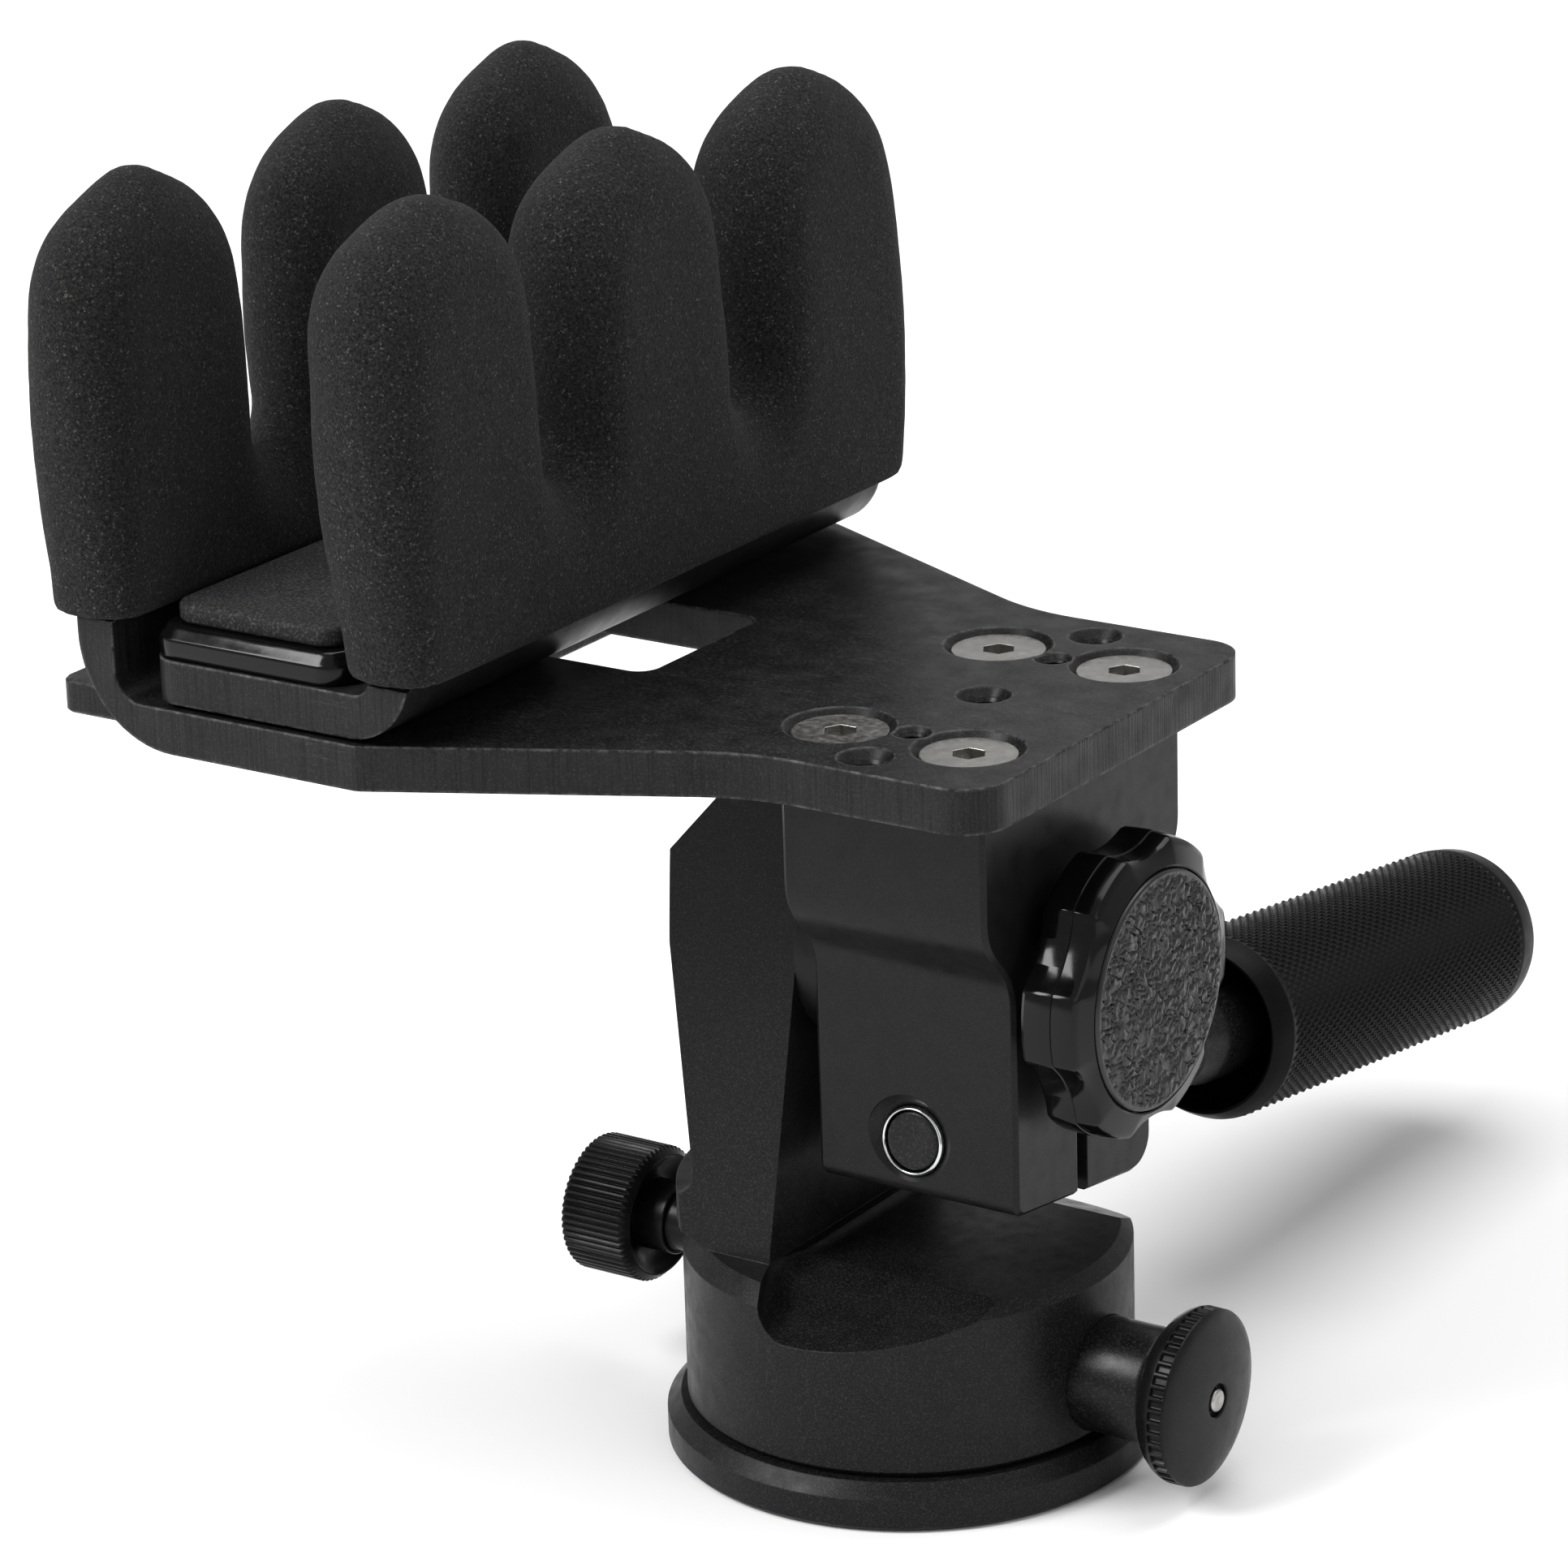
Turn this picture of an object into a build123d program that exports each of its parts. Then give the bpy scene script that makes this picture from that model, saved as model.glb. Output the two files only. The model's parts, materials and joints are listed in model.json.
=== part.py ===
from build123d import *
import os
from math import cos, radians, sin

os.makedirs("parts", exist_ok=True)

# Pan-and-tilt tripod head with an offset plate that carries an adjustable padded cradle.
# Millimetres.  X runs towards the tilt drag knob, Y towards the clamp handle, Z up.
# The origin is on the pan axis, on the underside of the base flange.

# ---- base and pan bearing -------------------------------------------------------------
flange_r = 32.8
flange_h = 6.2
body_r = 30.0
body_z0 = 6.7                 # the thrust washer holds the body off the flange
body_z1 = 30.0
body_chamfer = 2.3
spindle_r = 19.95
spindle_z1 = 25.8
core_r = 5.5                  # hollow in the middle of the spindle, above the tripod thread
core_z1 = 20.0
bore_r = 20.0                 # body bore that turns round the spindle
groove_r = 16.2               # bottom of the groove that the pull pin rides in
groove_half = 2.8
insert_r = 7.0
insert_h = 8.8
tripod_thread_r = 4.1         # 3/8-16 tripod thread, drawn at its minor radius
screw_circle = 12.6

# ---- upright arm ----------------------------------------------------------------------
arm_inner_x = -7.5
arm_top_z = 92.0
arm_half_foot = 22.0
arm_taper = 0.211             # narrowing of each side for every millimetre of height
arm_outer_r = 30.6
floor_z = 29.4                # clearance floor under the tilting block
floor_half = 15.3
floor_slope = 0.42
tilt_z = 69.8
shaft_r = 6.0
thread_r = 5.0
shaft_head_r = 9.0

# ---- tilting block --------------------------------------------------------------------
block_x0 = -3.2
block_x1 = 27.2
block_front_top = 22.8        # reach in front of the tilt axis, and behind it, above and below the jog
block_front_low = 16.2
block_back_top = 26.0
block_back_low = 17.7
block_z0 = 39.4               # height of the underside at Y = 0
plate_z0 = 99.4
jog_z0 = 70.0
jog_z1 = 84.0
clamp_slope = 7.9             # degrees: handle, clamp stud and block underside lean alike
slit_w = 2.6
bush_r = 8.0
stud_x = 11.0
stud_front = (stud_x, -block_front_low, 49.0)
stud_r = 4.0

# ---- plate and cradle -----------------------------------------------------------------
plate_t = 6.0
plate_z1 = plate_z0 + plate_t
plate_x1 = 33.8
mount_half = 33.6
saddle_half = 55.5
flare_x = -45.0
wall_x0 = -89.3
wall_x1 = -83.6
screw_x = 13.5                # centre line of the plate's hole pattern
screw_pitch_x = 19.05
screw_pitch_y = 38.1
quarter_inch_pitch = 27.94
small_pitch = 17.1
window_x0 = -76.2
window_x1 = -29.5
window_half = 13.6

jaw_t = 5.8
jaw_gap = 0.65                # the guide block holds the jaw this far off the plate
jaw_z0 = plate_z1 + jaw_gap
jaw_x0 = -78.6
jaw_wall_x1 = -36.8
jaw_half = 54.8
guide_x0 = -75.9
guide_x1 = -62.0
slide_x0 = -109.4
slide_x1 = -63.2
slide_half = 37.0
slide_t = 4.8

foam_t = 4.0
finger_valley_z = 129.5
finger_gap_in = 12.5
finger_gap_out = 29.5

# ---- knobs and handle -----------------------------------------------------------------
knob_r = 20.0
knob_x0 = 29.8
knob_x1 = 38.9
lobes = 6
scallop_r = 15.4
scallop_depth = 1.8
insert_disc_r = 15.8
lock_z = 22.1
lock_knob_r = 9.5
lock_neck_r = 5.0
lock_x0 = -50.4
lock_x1 = -39.5
lock_neck_x1 = -33.6
plunger_z = 14.4
barrel_r = 7.75
barrel_x1 = 39.9
head_r = 11.8
head_x0 = 40.4
head_x1 = 47.6
grip_r = 13.3
grip_s0 = 76.0                # distances along the handle axis from the block's front face
grip_s1 = 156.5
stem_r = 6.0


def outline(plane, points):
    """Closed straight-sided face on a plane."""
    with BuildSketch(plane) as made:
        with BuildLine():
            Polyline(*points, close=True)
        make_face()
    return made.sketch


def turned(plane, points):
    """Solid of revolution: (distance along, radius) points about the plane's x direction."""
    with BuildPart() as made:
        revolve(outline(plane, points), axis=Axis(plane.origin, plane.x_dir))
    return made.part


def tube(plane, start, end, outer, inner):
    """Plain ring between two distances along the plane's x direction."""
    return turned(plane, [(start, inner), (end, inner), (end, outer), (start, outer)])


def finger_outline(plane, half, low_z, tip_z, grow):
    """Three round-ended fingers that stand on a common base, all grown by one amount."""
    middle = finger_gap_in + grow
    outer = (half - finger_gap_out) / 2 + grow
    outer_y = (half + finger_gap_out) / 2
    valley = finger_valley_z + grow
    with BuildSketch(plane) as made:
        with Locations((0, (low_z + valley) / 2)):
            Rectangle(2 * (half + grow), valley - low_z)
        for y, reach in ((0, middle), (outer_y, outer), (-outer_y, outer)):
            round_z = tip_z + grow - reach
            with Locations((y, (low_z + round_z) / 2)):
                Rectangle(2 * reach, round_z - low_z)
            with Locations((y, round_z)):
                Circle(reach)
        corners = made.vertices().filter_by_position(Axis.Y, valley - 0.01, valley + 0.01)
        fillet(corners.filter_by_position(Axis.X, -half, half), radius=3.8)
    return made.sketch


up = Plane(origin=(0, 0, 0), x_dir=(0, 0, 1), z_dir=(0, 1, 0))
along_x = Plane(origin=(0, 0, tilt_z), x_dir=(1, 0, 0), z_dir=(0, -1, 0))
lock_axis = Plane(origin=(0, 0, lock_z), x_dir=(1, 0, 0), z_dir=(0, -1, 0))
plunger_axis = Plane(origin=(0, 0, plunger_z), x_dir=(1, 0, 0), z_dir=(0, -1, 0))
handle_dir = (0, cos(radians(clamp_slope)), -sin(radians(clamp_slope)))
handle_axis = Plane(origin=stud_front, x_dir=handle_dir, z_dir=(1, 0, 0))
from_below = Plane(origin=(0, 0, 0), x_dir=(1, 0, 0), z_dir=(0, 0, -1))

# ======================================================================================
# Base: flange, tripod thread and the spindle that the head turns on
# ======================================================================================
with BuildPart() as base_flange:
    with BuildSketch():
        Circle(flange_r)
    extrude(amount=flange_h)
    chamfer(base_flange.edges().group_by(Axis.Z)[-1], length=1.9)
    chamfer(base_flange.edges().group_by(Axis.Z)[0], length=0.5)
    with Locations(from_below):
        Hole(insert_r + 0.05)
    with Locations(from_below):
        with PolarLocations(screw_circle, 3):
            CounterSinkHole(2.1, 3.9)
base_flange.part.label = "base_flange"
export_step(base_flange.part, "parts/base_flange.step")

with BuildPart() as tripod_insert:
    add(tube(up, 0, insert_h, insert_r, tripod_thread_r))
tripod_insert.part.label = "tripod_insert"
export_step(tripod_insert.part, "parts/tripod_insert.step")

# Turned stub with two grooves: a shallow one for the pan lock, a deep one for the pull pin.
pin_low = plunger_z - groove_half
pin_high = plunger_z + groove_half
spindle_points = [(flange_h, insert_r + 0.1), (insert_h + 0.4, insert_r + 0.1), (insert_h + 0.4, core_r),
                  (core_z1, core_r), (core_z1, 0), (spindle_z1, 0), (spindle_z1, spindle_r - 0.4),
                  (spindle_z1 - 0.4, spindle_r), (lock_z + 2.9, spindle_r),
                  (lock_z + 1.9, spindle_r - 1.1), (lock_z - 1.9, spindle_r - 1.1),
                  (lock_z - 2.9, spindle_r), (pin_high, spindle_r), (pin_high, groove_r),
                  (pin_low, groove_r), (pin_low, spindle_r), (flange_h, spindle_r)]
with BuildPart() as pan_spindle:
    add(turned(up, spindle_points))
    with PolarLocations(screw_circle, 3):
        with Locations((0, 0, flange_h)):
            Cylinder(1.7, 10, align=(Align.CENTER, Align.CENTER, Align.MIN), mode=Mode.SUBTRACT)
pan_spindle.part.label = "pan_spindle"
export_step(pan_spindle.part, "parts/pan_spindle.step")

with BuildPart() as spindle_screws:
    for turn in range(3):
        angle = radians(120 * turn)
        place = (screw_circle * cos(angle), screw_circle * sin(angle), 0)
        screw_axis = Plane(origin=place, x_dir=(0, 0, 1), z_dir=(0, 1, 0))
        add(turned(screw_axis, [(0.3, 0), (0.3, 3.5), (2.3, 1.6), (14.0, 1.6), (14.0, 0)]))
    for turn in range(3):
        angle = radians(120 * turn)
        place = (screw_circle * cos(angle), screw_circle * sin(angle), 0.3)
        with BuildSketch(Plane(origin=place)):
            RegularPolygon(1.2, 6)
        extrude(amount=1.4, mode=Mode.SUBTRACT)
spindle_screws.part.label = "spindle_screws"
export_step(spindle_screws.part, "parts/spindle_screws.step")

with BuildPart() as thrust_washer:
    add(tube(up, flange_h, body_z0 - 0.02, 29.0, bore_r + 0.6))
thrust_washer.part.label = "thrust_washer"
export_step(thrust_washer.part, "parts/thrust_washer.step")

# ======================================================================================
# Rotating body with its upright arm, one machined piece
# ======================================================================================
arm_half_top = arm_half_foot - arm_taper * (arm_top_z - body_z1)
with BuildPart() as arm_form:
    with BuildSketch(Plane.YZ.offset(arm_inner_x)):
        with BuildLine():
            Polyline((-arm_half_foot, 29), (arm_half_foot, 29), (arm_half_foot, body_z1),
                     (arm_half_top, arm_top_z), (-arm_half_top, arm_top_z),
                     (-arm_half_foot, body_z1), close=True)
        make_face()
    extrude(amount=-24)
    foot_r = body_r - body_chamfer
    revolve(outline(up, [(29, 0), (29, foot_r), (body_z1, foot_r), (31.6, arm_outer_r),
                         (arm_top_z, arm_outer_r), (arm_top_z, 0)]),
            axis=Axis.Z, mode=Mode.INTERSECT)
    # The back of the arm slopes inwards towards its foot to clear the hand on the pan lock.
    with BuildSketch(Plane.XZ):
        with BuildLine():
            Polyline((-40, 36.5), (-19.9, 36.5), (-29.7, 79.3), (-18.9, arm_top_z), (-18.9, 100),
                     (-40, 100), close=True)
        make_face()
        fillet(vertices().filter_by_position(Axis.X, -20.0, -19.8), radius=2.5)
    extrude(amount=40, both=True, mode=Mode.SUBTRACT)

# Floor and two sloping sides give the tilting block and its handle room to swing.
# In plan its back wall turns forwards beyond the foot of the arm.
slope_reach = 30
slope_drop = floor_slope * slope_reach
wall_turn = 0.42
with BuildPart() as swing_room:
    with BuildSketch(Plane.YZ.offset(arm_inner_x)):
        with BuildLine():
            Polyline((-floor_half, floor_z), (floor_half, floor_z),
                     (floor_half + slope_reach, floor_z - slope_drop), (floor_half + slope_reach, 100),
                     (-floor_half - slope_reach, 100), (-floor_half - slope_reach, floor_z - slope_drop),
                     close=True)
        make_face()
    extrude(amount=45)
    turned_x = arm_inner_x + wall_turn * (50 - arm_half_foot)
    with BuildSketch():
        with BuildLine():
            Polyline((60, -50), (turned_x, -50), (arm_inner_x, -arm_half_foot), (arm_inner_x, arm_half_foot),
                     (turned_x, 50), (60, 50), close=True)
        make_face()
    extrude(amount=120, mode=Mode.INTERSECT)
    back_walls = swing_room.faces().filter_by(lambda f: f.normal_at().X < -0.5)
    foot_edges = back_walls.edges().filter_by_position(Axis.Z, 0, floor_z + 0.01)
    fillet(foot_edges.filter_by(lambda e: abs((e @ 1).Y - (e @ 0).Y) > 1), radius=3.4)

with BuildPart() as pan_body:
    with BuildSketch(Plane.XY.offset(body_z0)):
        Circle(body_r)
    extrude(amount=body_z1 - body_z0)
    chamfer(pan_body.edges().group_by(Axis.Z)[-1], length=body_chamfer)
    chamfer(pan_body.edges().group_by(Axis.Z)[0], length=0.4)
    add(arm_form.part)
    add(swing_room.part, mode=Mode.SUBTRACT)
    # Bores: spindle, pan lock, pull pin and tilt shaft.
    with Locations((0, 0, body_z0)):
        Cylinder(bore_r, spindle_z1 + 0.4 - body_z0, align=(Align.CENTER, Align.CENTER, Align.MIN),
                 mode=Mode.SUBTRACT)
    add(turned(lock_axis, [(-31, 0), (-31, 7.0), (-27.5, 7.0), (-27.5, 3.1), (-15, 3.1), (-15, 0)]),
        mode=Mode.SUBTRACT)
    add(turned(plunger_axis, [(15, 0), (15, 3.4), (24, 3.4), (24, 6.1), (28.6, 6.1),
                            (28.6, barrel_r + 0.05), (31, barrel_r + 0.05), (31, 0)]),
        mode=Mode.SUBTRACT)
    add(turned(along_x, [(-35, 0), (-35, shaft_head_r + 0.3), (-21, shaft_head_r + 0.3),
                         (-21, shaft_r + 0.05), (0, shaft_r + 0.05), (0, 0)]),
        mode=Mode.SUBTRACT)
pan_body.part.label = "pan_body"
export_step(pan_body.part, "parts/pan_body.step")

# ======================================================================================
# Pan lock: knurled knob on a screw that presses a soft shoe against the spindle
# ======================================================================================
with BuildPart() as pan_lock_knob:
    add(turned(lock_axis, [(lock_x0, 3.0), (lock_x0, lock_knob_r - 0.5), (lock_x0 + 0.5, lock_knob_r),
                           (lock_x1 - 1.1, lock_knob_r), (lock_x1, lock_knob_r - 0.9),
                           (lock_x1, 8.2), (lock_x1 - 2.6, 6.2), (lock_x1 - 2.6, lock_neck_r),
                           (lock_neck_x1 - 0.4, lock_neck_r), (lock_neck_x1, lock_neck_r - 0.4),
                           (lock_neck_x1, 3.0)]))
pan_lock_knob.part.label = "pan_lock_knob"
export_step(pan_lock_knob.part, "parts/pan_lock_knob.step")

with BuildPart() as pan_lock_screw:
    add(turned(lock_axis, [(lock_x0 + 0.2, 0), (lock_x0 + 0.2, 2.95), (lock_neck_x1, 2.95),
                           (lock_neck_x1, 4.3), (-30.5, 4.3), (-30.5, 2.95), (-22.6, 2.95),
                           (-22.6, 0)]))
pan_lock_screw.part.label = "pan_lock_screw"
export_step(pan_lock_screw.part, "parts/pan_lock_screw.step")

with BuildPart() as pan_lock_shoe:
    add(turned(lock_axis, [(-22.4, 0), (-22.4, 2.8), (-20.2, 2.8), (-19.2, 1.4), (-19.2, 0)]))
pan_lock_shoe.part.label = "pan_lock_shoe"
export_step(pan_lock_shoe.part, "parts/pan_lock_shoe.step")

# ======================================================================================
# Pull pin that keeps the head on its spindle: barrel, pin, spring and pull knob
# ======================================================================================
with BuildPart() as plunger_barrel:
    add(turned(plunger_axis, [(24.05, 6.05), (28.65, 6.05), (28.65, barrel_r),
                              (barrel_x1 - 0.4, barrel_r), (barrel_x1, barrel_r - 0.4),
                              (barrel_x1, 3.3), (36.6, 3.3),
                              (36.6, 4.6), (24.6, 4.6), (24.6, 3.4), (24.05, 3.4)]))
plunger_barrel.part.label = "plunger_barrel"
export_step(plunger_barrel.part, "parts/plunger_barrel.step")

with BuildPart() as plunger_pin:
    add(turned(plunger_axis, [(16.6, 0), (16.6, 1.6), (17.6, 2.3), (24.8, 2.3), (24.8, 3.9),
                              (26.0, 3.9), (26.0, 1.6), (head_x1 - 0.2, 1.6), (head_x1 - 0.2, 0)]))
plunger_pin.part.label = "plunger_pin"
export_step(plunger_pin.part, "parts/plunger_pin.step")

with BuildPart() as plunger_spring:
    spring_path = Helix(pitch=1.7, height=9.0, radius=3.25, center=(26.6, 0, plunger_z),
                        direction=(1, 0, 0))
    with BuildSketch(Plane(origin=spring_path @ 0, z_dir=spring_path % 0)):
        Circle(0.45)
    sweep(path=spring_path)
plunger_spring.part.label = "plunger_spring"
export_step(plunger_spring.part, "parts/plunger_spring.step")

with BuildPart() as plunger_knob:
    with BuildSketch(plunger_axis):
        with BuildLine():
            Polyline((head_x1 - 0.4, 1.65), (head_x0, 1.65), (head_x0, 9.4), (43.1, head_r),
                     (45.5, head_r))
            ThreePointArc((45.5, head_r), (46.7, 6.6), (head_x1 - 0.4, 2.4))
            Line((head_x1 - 0.4, 2.4), (head_x1 - 0.4, 1.65))
        make_face()
    revolve(axis=Axis(plunger_axis.origin, plunger_axis.x_dir))
plunger_knob.part.label = "plunger_knob"
export_step(plunger_knob.part, "parts/plunger_knob.step")

# ======================================================================================
# Tilt shaft, friction parts and the lobed drag knob
# ======================================================================================
with BuildPart() as tilt_shaft:
    add(turned(along_x, [(-24.4, 0), (-24.4, shaft_head_r - 0.5), (-23.9, shaft_head_r),
                         (-21, shaft_head_r), (-21, shaft_r), (27.6, shaft_r), (27.6, thread_r),
                         (37.2, thread_r), (37.2, 0)]))
    with BuildSketch(Plane.YZ.offset(-24.4)):
        with Locations((0, tilt_z)):
            RegularPolygon(4.0, 6)
    extrude(amount=2.6, mode=Mode.SUBTRACT)
tilt_shaft.part.label = "tilt_shaft"
export_step(tilt_shaft.part, "parts/tilt_shaft.step")

with BuildPart() as friction_disc:
    add(tube(along_x, arm_inner_x, block_x0 - 0.02, 14.0, shaft_r + 0.1))
friction_disc.part.label = "friction_disc"
export_step(friction_disc.part, "parts/friction_disc.step")

for side, start, end in (("inner", block_x0, 8.0), ("outer", 15.0, block_x1)):
    with BuildPart() as tilt_bush:
        add(tube(along_x, start, end, bush_r - 0.02, shaft_r + 0.05))
    tilt_bush.part.label = f"tilt_bush_{side}"
    export_step(tilt_bush.part, f"parts/tilt_bush_{side}.step")

with BuildPart() as drag_washer:
    add(tube(along_x, block_x1 + 0.02, 28.0, 11.0, shaft_r + 0.1))
drag_washer.part.label = "drag_washer"
export_step(drag_washer.part, "parts/drag_washer.step")

with BuildPart() as spring_washer:
    add(turned(along_x, [(28.0, 10.0), (28.0, 8.6), (29.0, thread_r + 0.4), (29.6, thread_r + 0.4),
                         (28.6, 10.0)]))
spring_washer.part.label = "spring_washer"
export_step(spring_washer.part, "parts/spring_washer.step")

knob_face = Plane(origin=(knob_x0, 0, tilt_z), x_dir=(0, 1, 0), z_dir=(1, 0, 0))
with BuildPart() as drag_knob:
    with BuildSketch(knob_face):
        Circle(knob_r)
        with PolarLocations(knob_r + scallop_r - scallop_depth, lobes, start_angle=30):
            Circle(scallop_r, mode=Mode.SUBTRACT)
        fillet(vertices(), radius=1.2)
    extrude(amount=knob_x1 - knob_x0)
    chamfer(drag_knob.edges().group_by(Axis.X)[-1], length=0.8)
    chamfer(drag_knob.edges().group_by(Axis.X)[0], length=0.6)
    add(turned(along_x, [(knob_x0 - 0.2, 0), (knob_x0 - 0.2, 7.6), (37.6, 7.6), (37.6, 0)]),
        mode=Mode.SUBTRACT)
    add(turned(along_x, [(knob_x1 - 0.9, 0), (knob_x1 - 0.9, insert_disc_r + 0.1),
                         (knob_x1 + 1, insert_disc_r + 0.1), (knob_x1 + 1, 0)]),
        mode=Mode.SUBTRACT)
drag_knob.part.label = "drag_knob"
export_step(drag_knob.part, "parts/drag_knob.step")

with BuildPart() as knob_bushing:
    add(tube(along_x, knob_x0 - 0.1, 37.4, 7.58, thread_r + 0.05))
knob_bushing.part.label = "knob_bushing"
export_step(knob_bushing.part, "parts/knob_bushing.step")

with BuildPart() as knob_insert:
    add(turned(along_x, [(knob_x1 - 0.85, 0), (knob_x1 - 0.85, insert_disc_r),
                         (knob_x1 + 0.1, insert_disc_r), (knob_x1 + 0.6, insert_disc_r - 1.2),
                         (knob_x1 + 0.9, 6), (knob_x1 + 0.9, 0)]))
knob_insert.part.label = "knob_insert"
export_step(knob_insert.part, "parts/knob_insert.step")

# ======================================================================================
# Tilting block and the handle that clamps it on the shaft
# ======================================================================================
lean = sin(radians(clamp_slope)) / cos(radians(clamp_slope))
front_z = block_z0 + lean * block_front_low
back_z = block_z0 - lean * block_back_low
with BuildPart() as tilt_block:
    with BuildSketch(Plane.YZ.offset(block_x0)):
        with BuildLine():
            Line((-block_front_top, plate_z0), (block_back_top, plate_z0))
            Line((block_back_top, plate_z0), (block_back_top, jog_z1))
            Spline((block_back_top, jog_z1), (block_back_low, jog_z0), tangents=((0, -1), (0, -1)))
            Line((block_back_low, jog_z0), (block_back_low, back_z))
            Line((block_back_low, back_z), (-block_front_low, front_z))
            Line((-block_front_low, front_z), (-block_front_low, jog_z0))
            Spline((-block_front_low, jog_z0), (-block_front_top, jog_z1), tangents=((0, 1), (0, 1)))
            Line((-block_front_top, jog_z1), (-block_front_top, plate_z0))
        make_face()
        fillet(vertices().group_by(Axis.Y)[0], radius=4.5)
        fillet(vertices().filter_by_position(Axis.X, -block_front_low - 0.01, -block_front_low + 0.01)
               .group_by(Axis.Y)[0], radius=2.0)
    extrude(amount=block_x1 - block_x0)
    chamfer(tilt_block.faces().sort_by(Axis.X)[0].edges(), length=0.8)
    chamfer(tilt_block.faces().sort_by(Axis.X)[-1].edges(), length=0.6)
    add(turned(along_x, [(-10, 0), (-10, bush_r), (40, bush_r), (40, 0)]), mode=Mode.SUBTRACT)
    with BuildSketch(Plane.YZ.offset(block_x0)):
        with Locations((0, tilt_z - 20)):
            Rectangle(slit_w, 40)
    extrude(amount=60, both=True, mode=Mode.SUBTRACT)
    add(turned(handle_axis, [(-4, 0), (-4, 6.4), (-0.2, 6.4), (1.2, 4.75), (6.0, 4.75),
                             (6.0, stud_r + 0.3), (31.6, stud_r + 0.3), (31.6, 8.6), (40, 8.6),
                             (40, 0)]),
        mode=Mode.SUBTRACT)
    for x in (screw_x - screw_pitch_x / 2, screw_x + screw_pitch_x / 2):
        for y in (-screw_pitch_y / 2, screw_pitch_y / 2):
            with Locations((x, y, plate_z0)):
                Cylinder(3.2, 13.4, align=(Align.CENTER, Align.CENTER, Align.MAX),
                         mode=Mode.SUBTRACT)
tilt_block.part.label = "tilt_block"
export_step(tilt_block.part, "parts/tilt_block.step")

with BuildPart() as clamp_nut:
    add(tube(handle_axis, 0.6, 5.95, 4.7, stud_r + 0.05))
clamp_nut.part.label = "clamp_nut"
export_step(clamp_nut.part, "parts/clamp_nut.step")

with BuildPart() as clamp_stud:
    add(turned(handle_axis, [(0.9, 0), (0.9, stud_r - 0.5), (1.4, stud_r), (60.0, stud_r), (60.0, 0)]))
clamp_stud.part.label = "clamp_stud"
export_step(clamp_stud.part, "parts/clamp_stud.step")

with BuildPart() as handle_washer:
    add(tube(handle_axis, 31.7, 33.2, 8.2, stud_r + 0.3))
handle_washer.part.label = "handle_washer"
export_step(handle_washer.part, "parts/handle_washer.step")

with BuildPart() as handle_stem:
    add(turned(handle_axis, [(33.4, stud_r + 0.02), (33.4, 7.6), (36.4, 7.6), (38.4, stem_r),
                             (68.0, stem_r), (72.0, 7.0), (92.0, 7.0), (92.0, 5.0), (140.0, 5.0),
                             (140.0, 0), (60.1, 0), (60.1, stud_r + 0.02)]))
handle_stem.part.label = "handle_stem"
export_step(handle_stem.part, "parts/handle_stem.step")

with BuildPart() as handle_grip:
    add(turned(handle_axis, [(grip_s0, 11.3), (grip_s0 - 0.6, 11.6), (grip_s0 + 2.2, grip_r),
                             (grip_s1 - 3.2, grip_r), (grip_s1 - 1.2, grip_r - 0.9),
                             (grip_s1, grip_r - 3.2), (grip_s1, 0), (140.1, 0), (140.1, 5.02),
                             (92.1, 5.02), (92.1, 7.04), (87.0, 7.04), (84.0, 11.3)]))
handle_grip.part.label = "handle_grip"
export_step(handle_grip.part, "parts/handle_grip.step")

# ======================================================================================
# Saddle plate: hole pattern, window and the fixed jaw turned up from its end
# ======================================================================================
bend_out = 14.5
bend_in = 4.0
jaw_tip_z = 169.0
with BuildPart() as fixed_finger_trim:
    with BuildSketch(Plane.YZ.offset(wall_x0 - 5)):
        with Locations((0, 150)):
            Rectangle(200, 68)
        add(finger_outline(Plane.XY, saddle_half - 1.0, 110, jaw_tip_z, 0), mode=Mode.SUBTRACT)
    extrude(amount=14)

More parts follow.
